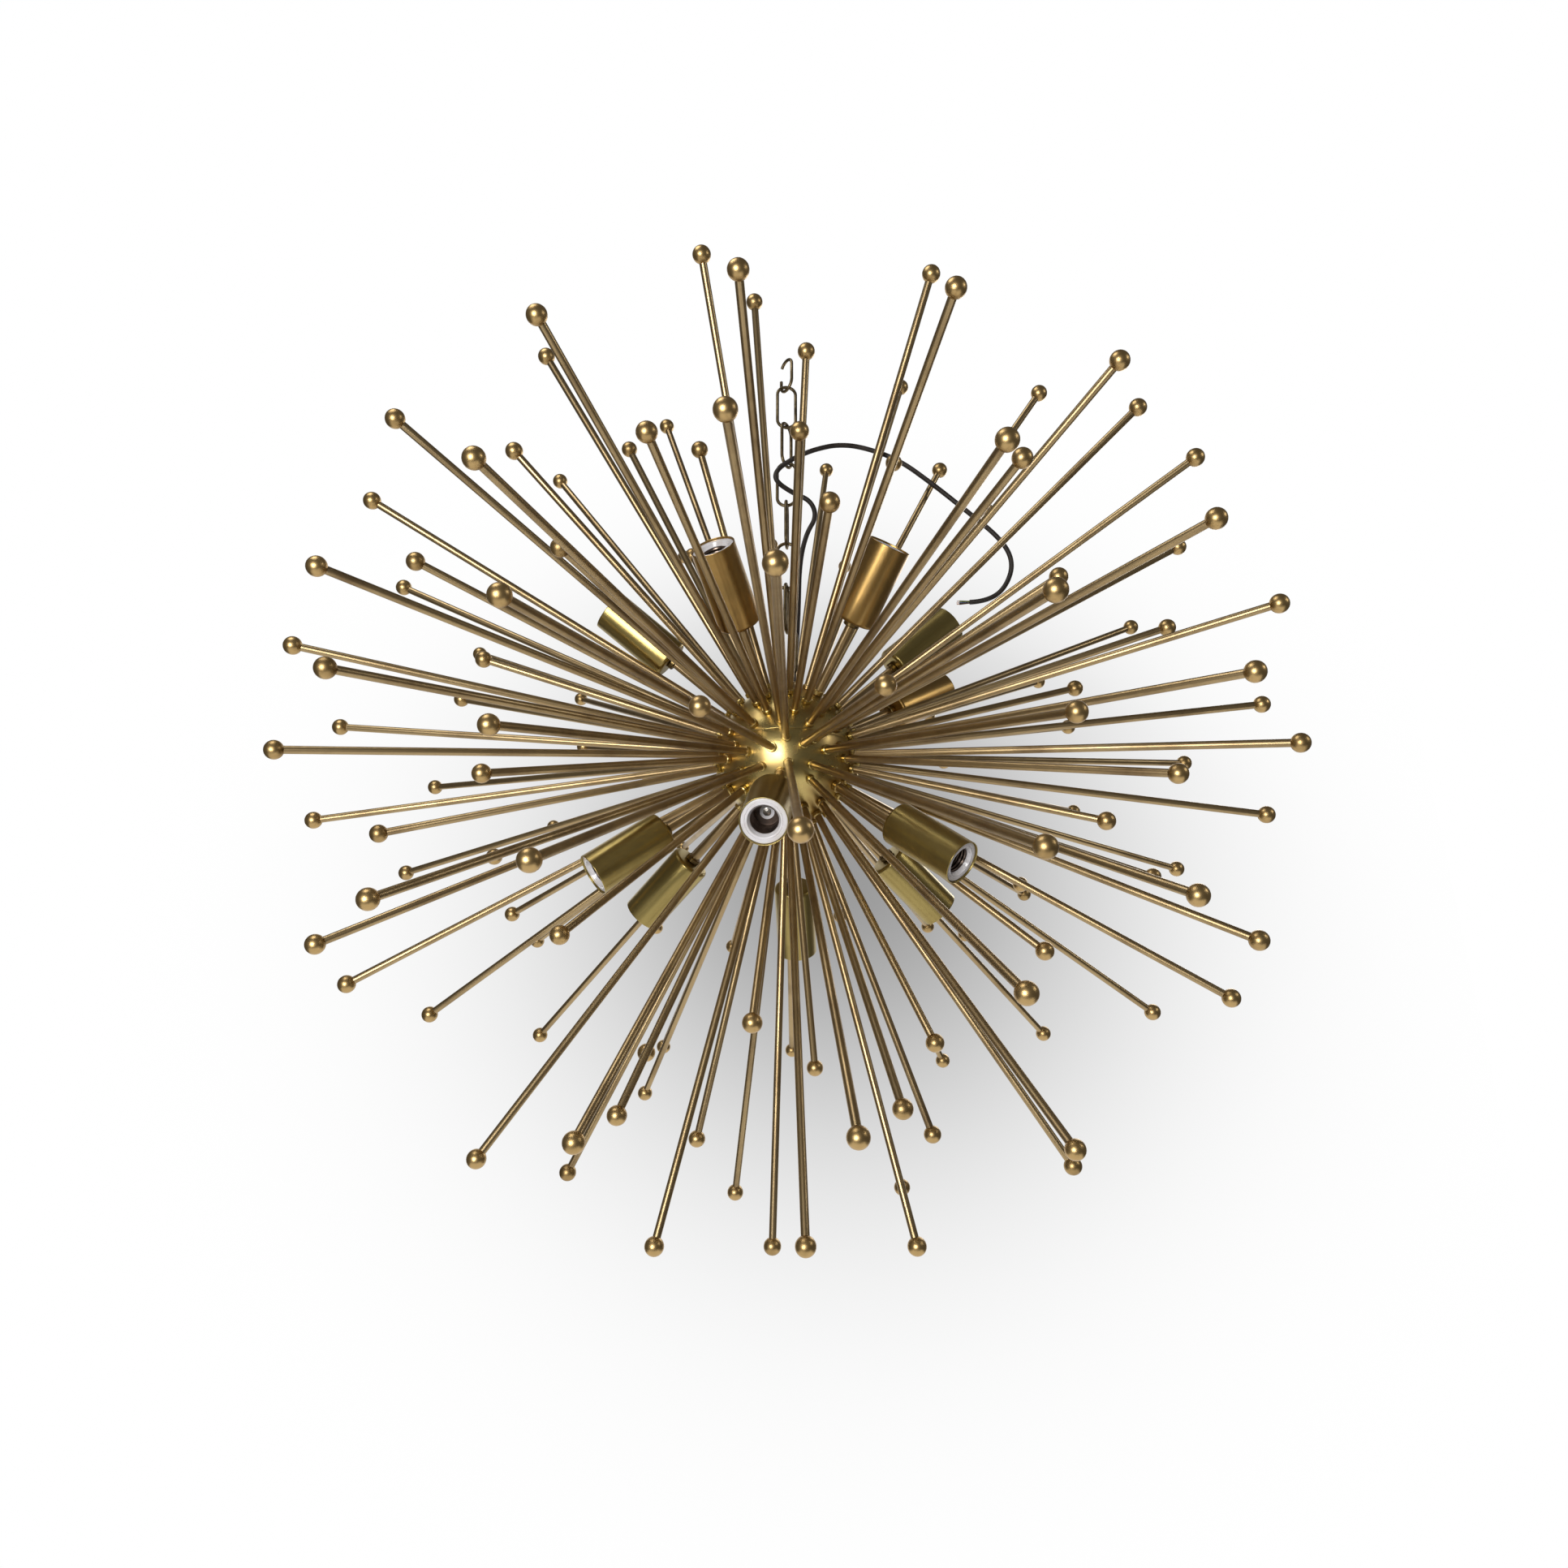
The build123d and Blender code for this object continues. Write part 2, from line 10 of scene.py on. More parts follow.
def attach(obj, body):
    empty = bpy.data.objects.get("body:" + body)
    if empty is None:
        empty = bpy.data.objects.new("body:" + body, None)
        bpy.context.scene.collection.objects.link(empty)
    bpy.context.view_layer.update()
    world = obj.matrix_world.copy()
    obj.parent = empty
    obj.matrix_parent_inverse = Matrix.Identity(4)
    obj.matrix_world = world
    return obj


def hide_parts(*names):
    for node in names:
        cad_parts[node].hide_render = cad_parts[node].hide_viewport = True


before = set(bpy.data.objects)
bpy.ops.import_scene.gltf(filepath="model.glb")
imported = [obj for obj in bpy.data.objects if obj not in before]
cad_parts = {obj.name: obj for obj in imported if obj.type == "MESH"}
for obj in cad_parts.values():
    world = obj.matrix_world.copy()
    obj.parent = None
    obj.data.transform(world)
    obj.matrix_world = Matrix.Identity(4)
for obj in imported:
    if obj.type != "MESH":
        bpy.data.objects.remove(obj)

bl_info = {
    "name": "Sputnik Chandelier",
    "version": (1, 0, 0),
    "blender": (4, 5, 0),
    "location": "3D View > Sidebar > Chandelier",
    "description": "Dresses the packed sputnik chandelier with smooth brass, porcelain, chain and cord",
    "category": "Object",
}

MM = 0.001
# The ball's centre, below the hook's bearing point.
CENTRE = Vector((0.0, 0.0, -0.549))
FULL_TURN = 2 * math.pi

# Rings of rods, as in the part: reach in mm, latitude, first longitude, number.
LONG = 530.0
MEDIUM = 443.0
SHORT = 358.0
RINGS = {
    "upper": (
        (LONG, 6.0, -5.0, 16),
        (MEDIUM, 16.5, -16.25, 8),
        (SHORT, 16.5, 6.25, 8),
        (LONG, 27.0, -5.0, 16),
        (LONG, 54.0, 28.75, 8),
        (MEDIUM, 64.0, 6.25, 4),
        (SHORT, 64.0, 51.25, 4),
        (LONG, 73.0, -14.0, 4),
    ),
    "lower": (
        (LONG, -8.0, -1.0, 16),
        (MEDIUM, -15.5, 10.25, 8),
        (SHORT, -15.5, -12.25, 8),
        (LONG, -29.0, -1.0, 16),
        (LONG, -55.5, 10.25, 8),
        (MEDIUM, -65.0, 32.75, 4),
        (SHORT, -65.0, -12.25, 4),
        (LONG, -76.0, 7.0, 4),
    ),
}
# Rods that stand out of their ring's line, by ring and place in it: reach, latitude, longitude.
STRAYS = {
    "upper": {
        (0, 1): (LONG, 5.0, 18.0),
        (0, 2): (LONG, 6.0, 43.0),
        (0, 4): (LONG, 5.0, 86.0),
        (0, 14): (LONG, 5.0, -52.0),
        (1, 2): (MEDIUM, 16.0, 80.0),
        (3, 4): (LONG, 29.0, 87.0),
        (3, 14): (LONG, 24.0, -50.0),
        (7, 1): (LONG, 74.0, 90.0),
        (7, 2): (LONG, 71.0, 161.0),
        (7, 3): (LONG, 71.0, -113.0),
    },
    "lower": {
        (0, 2): (LONG, -8.0, 47.0),
        (0, 6): (LONG, -5.0, 140.0),
        (0, 10): (LONG, -13.0, -138.0),
        (1, 0): (SHORT, -12.5, 13.5),
        (2, 1): (MEDIUM, -14.5, 33.0),
        (2, 2): (SHORT, -19.0, 71.0),
        (3, 0): (LONG, -28.0, 1.0),
        (3, 1): (LONG, -28.0, 23.0),
        (3, 4): (LONG, -32.0, 85.0),
        (3, 7): (LONG, -32.0, 152.0),
        (4, 3): (LONG, -58.0, 151.0),
        (4, 4): (LONG, -59.0, -167.0),
    },
}
# Rods outside the rings: reach, latitude, longitude.
SINGLES = {
    "upper": (
        (LONG, 37.0, 62.0),
        (LONG, 38.5, 131.5),
        (MEDIUM, 40.0, -60.0),
        (SHORT, 40.0, 2.5),
    ),
    "lower": (
        (LONG, -40.0, 25.5),
        (LONG, -38.0, -153.5),
        (SHORT, -42.0, 75.0),
        (SHORT, -43.0, -54.0),
    ),
}
# Lamp cups: latitude, longitude.
LAMPS = {
    "upper": (
        (35.0, -21.0),
        (44.0, 36.0),
        (37.0, -75.0),
        (42.0, 93.0),
        (31.0, 119.0),
        (36.0, -174.0),
    ),
    "lower": (
        (-36.5, -77.5),
        (-36.0, -126.0),
        (-36.0, -6.0),
        (-38.0, 59.0),
        (-35.0, 122.5),
        (-44.0, 176.0),
    ),
}
# Cups of a redder brass, by their place among all the lamps.
WARM_CUPS = (0, 1, 4)

# Sizes on a rod's or a lamp's axis, in mm. Heights along it are counted from the ball's centre, and a rod
# ends ROD_END_GAP short of the centre of its tip.
ROD_FOOT = 67.5
ROD_END_GAP = 3.0
CUP_BASE = 168.0
CUP_WALL = 1.0
STEM_HOLE = 5.1
HOLDER_FACE = 256.3
HOLDER_RADIUS = 22.2
BORE_RADIUS = 13.8
BORE_FLOOR = 225.7
BORE_MOUTH = 252.3

# Turned rings on those axes, in mm: bore, radius, low end, high end and the easing of the edges.
ROD_COLLAR = (4.02, 5.5, 77.9, 82.9, 0.7)
LAMP_STEM = (3.5, 5.0, 66.0, 173.5, 0.3)
STEM_COLLAR = (5.02, 6.5, 77.85, 83.8, 0.8)
NECK_COLLAR = (5.02, 8.5, 162.0, 168.0, 1.0)

# The chain: heights above the ball's centre where one link bears on the next, and each link's turn.
# Where a link moves on the next, each wire stays LOOSE off that height. In mm, to the wire's middle line.
CONTACTS = (507.0, 449.0, 391.0, 333.0, 275.0, 217.0, 159.0, 101.0)
LINK_YAWS = (5.0, 60.0, -5.0, 85.0, 0.0, 80.0, -10.0)
LOOSE = 0.15
LINK_HALF = 11.5
HOOK_YAW = -55.0
HOOK_HEIGHT = 42.0
HOOK_STUB = 9.0
HOOK_BEND = 150.0
LOOP_YAW = 80.0
LOOP_HEIGHT = 93.0
LOOP_RADIUS = 10.5
LOOP_WIRE = 2.5
WIRE_SIDES = 14
WIRE_BEND_STEPS = 16

# The cord's middle line, in metres, from the hang loop's foot to its cut end.
CORD_ROUTE = (
    (0.0075, 0.0065, -0.461),
    (0.0075, 0.0065, -0.445),
    (0.0115, 0.0095, -0.409),
    (0.0140, 0.0110, -0.354),
    (0.0155, 0.0100, -0.293),
    (0.0240, 0.0105, -0.251),
    (0.0370, 0.0090, -0.228),
    (0.0300, 0.0080, -0.205),
    (0.0080, 0.0070, -0.195),
    (-0.0140, -0.0110, -0.190),
    (-0.0130, -0.0150, -0.177),
    (0.0060, -0.0150, -0.161),
    (0.0240, -0.0120, -0.149),
    (0.0400, -0.0030, -0.136),
    (0.0630, 0.0040, -0.125),
    (0.0930, 0.0100, -0.123),
    (0.1400, 0.0140, -0.139),
    (0.1810, 0.0050, -0.183),
    (0.2200, 0.0090, -0.218),
    (0.2655, 0.0220, -0.2525),
    (0.2807, 0.0360, -0.2781),
    (0.2686, 0.0460, -0.3088),
    (0.2447, 0.0500, -0.3229),
    (0.2256, 0.0520, -0.3228),
)
CORD_DIAMETER = 0.006

# The wires at the cut end, in metres: how far each point lies beside the cord's line and past its end,
# then how far the bare copper's points lie past the end of the cover, and each wire's lean.
WIRE_POINTS = ((0.0011, -0.001), (0.0012, 0.004), (0.0017, 0.009), (0.0019, 0.0125))
COPPER_POINTS = (-0.0005, 0.0015, 0.0032)
WIRE_LEANS = (("brown", 1.0, 0.2), ("blue", -0.4, 0.9), ("green", -0.6, -0.9))
WIRE_RADIUS = 0.0009
COPPER_RADIUS = 0.0005

# The stage, in metres: each light's place, its size and the setting that holds its power.
LIGHTS = (
    ("Key light", (-0.73, -1.93, -1.15), 0.9, "key_power"),
    ("Side light", (2.1, -0.9, 0.2), 0.5, "side_power"),
    ("Top light", (-0.9, -0.9, 1.2), 1.0, "top_power"),
    ("Back light", (1.3, 2.0, 0.6), 0.9, "back_power"),
)
FLOOR_FRONT = -1.2
WALL_PLACE = 2.2
WALL_TOP = 2.4
WALL_BEND = 0.6
WALL_BEND_STEPS = 12


# ---- settings ----------------------------------------------------------------------------------------------
def colour(name, text, default):
    return FloatVectorProperty(
        name=name, description=text, subtype="COLOR", size=3, min=0.0, max=1.0, default=default
    )


def length(name, text, default):
    return FloatProperty(name=name, description=text, default=default, unit="LENGTH")


class ChandelierSizes(PropertyGroup):
    ball_radius: length("Ball radius", "Outside of the two half shells", 0.078)
    rod_radius: length("Rod radius", "Outside of a rod", 0.004)
    tip_radius: length("Tip radius", "Ball on the end of a rod", 0.0095)
    cup_radius: length("Cup radius", "Outside of a lamp cup", 0.02325)
    cup_length: length("Cup length", "Lamp cup from its base to its lip", 0.090)
    wire_radius: length("Chain wire", "Radius of the chain's wire", 0.002)
    rod_sides: IntProperty(name="Rod sides", description="Faces round a rod", default=20)
    cup_sides: IntProperty(name="Cup sides", description="Faces round a cup", default=56)


class ChandelierColours(PropertyGroup):
    rod_bright: colour("Rod brass", "Rubbed brass of the rods", (0.44, 0.32, 0.165))
    rod_dull: colour("Rod patina", "Patina on the rods", (0.20, 0.13, 0.065))
    tip_bright: colour("Tip brass", "Polished brass of the ball tips", (0.53, 0.36, 0.155))
    tip_dull: colour("Tip patina", "Patina on the ball tips", (0.28, 0.18, 0.07))
    cup_bright: colour("Cup brass", "Polished brass of the lamp cups", (0.40, 0.31, 0.11))
    cup_warm: colour("Warm cup brass", "Redder brass of three of the upper cups", (0.45, 0.28, 0.095))
    cup_dull: colour("Cup patina", "Patina on the lamp cups", (0.24, 0.165, 0.06))
    ball_bright: colour("Ball brass", "Polished brass of the ball", (0.56, 0.43, 0.16))
    ball_dull: colour("Ball patina", "Patina on the ball", (0.36, 0.22, 0.09))
    chain_bright: colour("Chain brass", "Brass of the chain where it rubs", (0.27, 0.205, 0.115))
    chain_dull: colour("Chain patina", "Patina on the chain", (0.08, 0.06, 0.035))
    porcelain: colour("Porcelain", "White glaze of the lampholders", (0.80, 0.78, 0.80))
    jacket: colour("Cord jacket", "Black jacket of the supply cord", (0.020, 0.014, 0.011))


class ChandelierStage(PropertyGroup):
    focal_length: FloatProperty(
        name="Focal length", description="Camera lens on a 36 mm sensor, in millimetres", default=27.335
    )
    camera_place: FloatVectorProperty(
        name="Camera place", description="Camera position", size=3, unit="LENGTH",
        default=(-0.0032, -1.2363, -1.0618),
    )
    camera_tilt: FloatProperty(
        name="Camera tilt", description="Camera's look above the horizon", unit="ROTATION",
        default=math.radians(21.16),
    )
    floor_height: length("Floor height", "Floor below the hook", -2.4)
    backdrop_width: length("Backdrop width", "Width of the floor and the wall behind", 4.0)
    # The shade on the backdrop is painted into the paper's colour, standing in for the object's shadow.
    painted_shade_place: FloatVectorProperty(
        name="Shade place", description="Middle of the soft grey shade on the backdrop", size=3,
        unit="LENGTH", default=(0.165, 2.2, 0.0),
    )
    painted_shade_size: length("Shade size", "How far the shade spreads", 0.60)
    painted_shade_depth: FloatProperty(
        name="Shade depth", description="How dark the shade is in its middle", default=0.68
    )
    room_light: FloatProperty(name="Room light", description="Strength of the room's own light", default=0.11)
    key_power: FloatProperty(
        name="Key light", description="Power of the large front light, in watts", default=34.0
    )
    side_power: FloatProperty(
        name="Side light", description="Power of the side light, in watts", default=4.0
    )
    back_power: FloatProperty(
        name="Back light", description="Power of the light behind, in watts", default=9.0
    )
    top_power: FloatProperty(
        name="Top light", description="Power of the top light, in watts", default=12.0
    )


# ---- node groups -------------------------------------------------------------------------------------------
def new_group(name, inputs, outputs):
    group = bpy.data.node_groups.new(name, "ShaderNodeTree")
    for label, kind, value in inputs:
        socket = group.interface.new_socket(label, in_out="INPUT", socket_type=kind)
        socket.default_value = value
    for label, kind in outputs:
        group.interface.new_socket(label, in_out="OUTPUT", socket_type=kind)
    return group, group.nodes.new("NodeGroupInput"), group.nodes.new("NodeGroupOutput")


def add_node(tree, kind, links=(), **settings):
    node = tree.nodes.new(kind)
    for key, value in settings.items():
        setattr(node, key, value)
    for socket, source in links:
        target = node.inputs[socket]
        if isinstance(source, bpy.types.NodeSocket):
            tree.links.new(source, target)
        else:
            target.default_value = source
    return node


def mix_colour(tree, amount, first, second):
    node = tree.nodes.new("ShaderNodeMix")
    node.data_type = "RGBA"
    tree.links.new(amount, node.inputs["Factor"])
    for socket, source in (("A", first), ("B", second)):
        target = [s for s in node.inputs if s.name == socket and s.type == "RGBA"][0]
        if isinstance(source, bpy.types.NodeSocket):
            tree.links.new(source, target)
        else:
            target.default_value = source
    return [s for s in node.outputs if s.type == "RGBA"][0]


def old_brass_group():
    """Rubbed and tarnished brass: patches of patina, a mottle in them, and fine pits."""
    group, enter, leave = new_group(
        "Old brass",
        (
            ("Bright", "NodeSocketColor", (0.6, 0.45, 0.2, 1)),
            ("Patina", "NodeSocketColor", (0.3, 0.2, 0.1, 1)),
            ("Patch scale", "NodeSocketFloat", 30.0),
            ("Patina share", "NodeSocketFloat", 0.5),
            ("Polish", "NodeSocketFloat", 0.2),
            ("Dullness", "NodeSocketFloat", 0.45),
        ),
        (
            ("Colour", "NodeSocketColor"),
            ("Roughness", "NodeSocketFloat"),
            ("Height", "NodeSocketFloat"),
        ),
    )
    place = add_node(group, "ShaderNodeTexCoord")
    patches = add_node(group, "ShaderNodeTexNoise", (
        ("Vector", place.outputs["Object"]),
        ("Scale", enter.outputs["Patch scale"]),
        ("Detail", 4.0),
        ("Roughness", 0.55),
    ))
    mottle = add_node(group, "ShaderNodeTexNoise", (
        ("Vector", place.outputs["Object"]),
        ("Scale", 150.0),
        ("Detail", 3.0),
    ))
    pits = add_node(group, "ShaderNodeTexNoise", (
        ("Vector", place.outputs["Object"]),
        ("Scale", 1400.0),
        ("Detail", 2.0),
    ))
    low = add_node(group, "ShaderNodeMath", (
        (0, 0.82),
        (1, enter.outputs["Patina share"]),
    ), operation="SUBTRACT")
    high = add_node(group, "ShaderNodeMath", ((0, low.outputs[0]), (1, 0.34)), operation="ADD")
    mask = add_node(group, "ShaderNodeMapRange", (
        ("Value", patches.outputs[0]),
        ("From Min", low.outputs[0]),
        ("From Max", high.outputs[0]),
    ))
    speck = add_node(group, "ShaderNodeMapRange", (
        ("Value", mottle.outputs[0]),
        ("From Min", 0.35),
        ("From Max", 0.75),
        ("To Min", -0.06),
        ("To Max", 0.08),
    ))
    mixed = add_node(group, "ShaderNodeMath", (
        (0, mask.outputs[0]),
        (1, speck.outputs[0]),
    ), operation="ADD", use_clamp=True)
    tone = mix_colour(group, mixed.outputs[0], enter.outputs["Bright"], enter.outputs["Patina"])
    rough = add_node(group, "ShaderNodeMapRange", (
        ("Value", mask.outputs[0]),
        ("To Min", enter.outputs["Polish"]),
        ("To Max", enter.outputs["Dullness"]),
    ))
    group.links.new(tone, leave.inputs["Colour"])
    group.links.new(rough.outputs[0], leave.inputs["Roughness"])
    group.links.new(pits.outputs[0], leave.inputs["Height"])
    return group


def dust_group():
    """A soft mottle between two close colours, for porcelain, plastic, sleeves and the jacket."""
    group, enter, leave = new_group(
        "Dust and mottle",
        (
            ("Clean", "NodeSocketColor", (0.8, 0.8, 0.8, 1)),
            ("Dusty", "NodeSocketColor", (0.7, 0.7, 0.7, 1)),
            ("Scale", "NodeSocketFloat", 60.0),
            ("Smooth", "NodeSocketFloat", 0.15),
            ("Rough", "NodeSocketFloat", 0.4),
        ),
        (
            ("Colour", "NodeSocketColor"),
            ("Roughness", "NodeSocketFloat"),
            ("Height", "NodeSocketFloat"),
        ),
    )
    place = add_node(group, "ShaderNodeTexCoord")
    cloud = add_node(group, "ShaderNodeTexNoise", (
        ("Vector", place.outputs["Object"]),
        ("Scale", enter.outputs["Scale"]),
        ("Detail", 5.0),
    ))
    grain = add_node(group, "ShaderNodeTexNoise", (
        ("Vector", place.outputs["Object"]),
        ("Scale", 1800.0),
        ("Detail", 1.0),
    ))
    mask = add_node(group, "ShaderNodeMapRange", (
        ("Value", cloud.outputs[0]),
        ("From Min", 0.4),
        ("From Max", 0.7),
    ))
    tone = mix_colour(group, mask.outputs[0], enter.outputs["Clean"], enter.outputs["Dusty"])
    rough = add_node(group, "ShaderNodeMapRange", (
        ("Value", mask.outputs[0]),
        ("To Min", enter.outputs["Smooth"]),
        ("To Max", enter.outputs["Rough"]),
    ))
    group.links.new(tone, leave.inputs["Colour"])
    group.links.new(rough.outputs[0], leave.inputs["Roughness"])
    group.links.new(grain.outputs[0], leave.inputs["Height"])
    return group


GROUPS = {}
FINISHES = {}


def shader_for(name, group_key, maker, values, metallic, bump, coat=0.0):
    if group_key not in GROUPS:
        GROUPS[group_key] = maker()
    material = bpy.data.materials.new(name)
    material.use_nodes = True
    tree = material.node_tree
    shader = tree.nodes["Principled BSDF"]
    effect = tree.nodes.new("ShaderNodeGroup")
    effect.node_tree = GROUPS[group_key]
    for key, value in values.items():
        effect.inputs[key].default_value = value
    relief = tree.nodes.new("ShaderNodeBump")
    relief.inputs["Strength"].default_value = bump
    relief.inputs["Distance"].default_value = 0.0002
    tree.links.new(effect.outputs["Colour"], shader.inputs["Base Color"])
    tree.links.new(effect.outputs["Roughness"], shader.inputs["Roughness"])
    tree.links.new(effect.outputs["Height"], relief.inputs["Height"])
    tree.links.new(relief.outputs["Normal"], shader.inputs["Normal"])
    shader.inputs["Metallic"].default_value = metallic
    shader.inputs["Coat Weight"].default_value = coat
    return material


def opaque(rgb):
    return (rgb[0], rgb[1], rgb[2], 1.0)


def brass(name, bright, dull, scale, share, polish, dullness, bump=0.0):
    if name not in FINISHES:
        FINISHES[name] = shader_for(name, "old brass", old_brass_group, {
            "Bright": opaque(bright),
            "Patina": opaque(dull),
            "Patch scale": scale,
            "Patina share": share,
            "Polish": polish,
            "Dullness": dullness,
        }, 1.0, bump)
    return FINISHES[name]


def plain_stuff(name, clean, dusty, scale, smooth, rough, metallic=0.0, bump=0.05, coat=0.0):
    if name not in FINISHES:
        FINISHES[name] = shader_for(name, "dust", dust_group, {
            "Clean": opaque(clean),
            "Dusty": opaque(dusty),
            "Scale": scale,
            "Smooth": smooth,
            "Rough": rough,
        }, metallic, bump, coat)
    return FINISHES[name]


def finishes(context):
    """All finishes by name. After its two colours a brass has the scale of its patches, their share, the
    roughness of clean and of dull brass, and any relief. The others have scale, two roughnesses, metal,
    relief and coat."""
    tone = context.scene.chandelier_colours
    return {
        "rod": brass("Rod brass", tone.rod_bright, tone.rod_dull, 14.0, 0.36, 0.34, 0.46),
        "tip": brass("Tip brass", tone.tip_bright, tone.tip_dull, 26.0, 0.34, 0.36, 0.44),
        "cup": brass("Cup brass", tone.cup_bright, tone.cup_dull, 11.0, 0.36, 0.31, 0.38, 0.005),
        "warm cup": brass("Warm cup brass", tone.cup_warm, tone.cup_dull, 11.0, 0.36, 0.31, 0.38, 0.005),
        "ball": brass("Ball brass", tone.ball_bright, tone.ball_dull, 22.0, 0.40, 0.26, 0.40, 0.01),
        "chain": brass("Chain brass", tone.chain_bright, tone.chain_dull, 60.0, 0.46, 0.34, 0.55, 0.2),
        "neck": brass("Neck brass", tone.cup_dull, tone.chain_dull, 40.0, 0.40, 0.28, 0.50),
        "nickel": brass("Nickel plate", (0.60, 0.56, 0.50), (0.34, 0.30, 0.25), 60.0, 0.36, 0.22, 0.45),
        # Painted shade: the screw shells deep in the lampholder bores are coloured dark bronze for the shade
        # there.
        "screw": brass("Old screw shell", (0.20, 0.15, 0.12), (0.09, 0.07, 0.06), 60.0, 0.40, 0.28, 0.45),
        "zinc": brass("Zinc plate", (0.62, 0.60, 0.55), (0.40, 0.37, 0.30), 80.0, 0.40, 0.35, 0.60),
        "copper": brass("Bare copper", (0.78, 0.42, 0.25), (0.42, 0.20, 0.12), 120.0, 0.36, 0.25, 0.5),
        "porcelain": plain_stuff(
            "White porcelain", tone.porcelain, (0.68, 0.64, 0.62), 70.0, 0.12, 0.30, 0.0, 0.03, 0.6
        ),
        "jacket": plain_stuff(
            "Black cord jacket", tone.jacket, (0.045, 0.034, 0.028), 90.0, 0.50, 0.70, 0.0, 0.10
        ),
        "sleeve": plain_stuff(
            "Woven sleeve", (0.70, 0.67, 0.60), (0.52, 0.49, 0.42), 160.0, 0.7, 0.9, 0.0, 0.3
        ),
        "plastic": plain_stuff("Connector plastic", (0.78, 0.76, 0.70), (0.62, 0.60, 0.55), 90.0, 0.35, 0.5),
        "brown wire": plain_stuff("Brown wire cover", (0.10, 0.05, 0.03), (0.14, 0.08, 0.05), 90, 0.35, 0.5),
        "blue wire": plain_stuff("Blue wire cover", (0.05, 0.09, 0.22), (0.08, 0.12, 0.24), 90, 0.35, 0.5),
        "green wire": plain_stuff("Green wire cover", (0.16, 0.22, 0.04), (0.22, 0.26, 0.07), 90, 0.35, 0.5),
    }


# ---- mesh helpers ------------------------------------------------------------------------------------------
def heading(lat, lon):
    la = math.radians(lat)
    lo = math.radians(lon)
    return Vector((math.cos(la) * math.sin(lo), -math.cos(la) * math.cos(lo), math.sin(la)))


def outward(lat, lon):
    """Turns +Z to that direction and moves the origin to the ball's centre."""
    turn = heading(lat, lon).to_track_quat("Z", "Y").to_matrix().to_4x4()
    return Matrix.Translation(CENTRE) @ turn


def spin_profile(bm, profile, sides, closed=False):
    """Turns a chain of (radius, height) points, in millimetres, round Z."""
    verts = [bm.verts.new((r * MM, 0, z * MM)) for r, z in profile]
    edges = [bm.edges.new(pair) for pair in zip(verts, verts[1:])]
    if closed:
        edges.append(bm.edges.new((verts[-1], verts[0])))
    bmesh.ops.spin(
        bm, geom=verts + edges, cent=(0, 0, 0), axis=(0, 0, 1), angle=FULL_TURN,
        steps=sides, use_merge=True, use_duplicate=False,
    )


def tidy(bm):
    bmesh.ops.remove_doubles(bm, verts=bm.verts, dist=1e-6)
    bmesh.ops.recalc_face_normals(bm, faces=bm.faces)


def shade(bm, sharp_angle=35.0):
    limit = math.radians(sharp_angle)
    for face in bm.faces:
        face.smooth = True
    for edge in bm.edges:
        if len(edge.link_faces) == 2 and edge.calc_face_angle() > limit:
            edge.smooth = False


def template(build, *values):
    bm = bmesh.new()
    build(bm, *values)
    tidy(bm)
    shade(bm)
    mesh = bpy.data.meshes.new("template")
    bm.to_mesh(mesh)
    bm.free()
    return mesh


def gather(bm, mesh, matrix):
    before = len(bm.verts)
    bm.from_mesh(mesh)
    bm.verts.ensure_lookup_table()
    bmesh.ops.transform(bm, matrix=matrix, verts=bm.verts[before:])


def finish_piece(name, bm, material, body, nodes=()):
    mesh = bpy.data.meshes.new(name)
    bm.to_mesh(mesh)
    bm.free()
    piece = bpy.data.objects.new(name, mesh)
    bpy.context.scene.collection.objects.link(piece)
    mesh.materials.append(material)
    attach(piece, body)
    if nodes:
        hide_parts(*nodes)
    return piece


def repeated(name, mesh, places, material, nodes, body="fixture"):
    bm = bmesh.new()
    for lat, lon in places:
        gather(bm, mesh, outward(lat, lon))
    return finish_piece(name, bm, material, body, nodes)


def rods_of(side):
    rods = []
    for ring_no, (reach, lat, first, number) in enumerate(RINGS[side]):
        for place in range(number):
            rod = (reach, lat, first + 360.0 * place / number)
            rods.append(STRAYS[side].get((ring_no, place), rod))
    return rods + list(SINGLES[side])


def arc(centre_r, centre_z, radius, start, end, steps):
    """Points of an arc in the profile plane, angles in degrees from outwards towards up."""
    points = []
    for step in range(steps + 1):
        angle = math.radians(start + (end - start) * step / steps)
        points.append((centre_r + radius * math.cos(angle), centre_z + radius * math.sin(angle)))
    return points


# ---- pieces ------------------------------------------------------------------------------------------------
def build_rod(bm, reach, radius, sides):
    inner = ROD_FOOT * MM
    outer = (reach - ROD_END_GAP) * MM
    bmesh.ops.create_cone(
        bm, cap_ends=True, segments=sides, radius1=radius, radius2=radius, depth=outer - inner,
        matrix=Matrix.Translation((0, 0, (inner + outer) / 2)),
    )


def build_tip(bm, reach, radius):
    bmesh.ops.create_uvsphere(
        bm, u_segments=24, v_segments=14, radius=radius, matrix=Matrix.Translation((0, 0, reach * MM))
    )


def build_ring(bm, bore, radius, low, high, ease, sides):
    spin_profile(bm, (
        (bore, low),
        (radius - ease, low),
        (radius, low + ease),
        (radius, high - ease),
        (radius - ease, high),
        (bore, high),
    ), sides, closed=True)


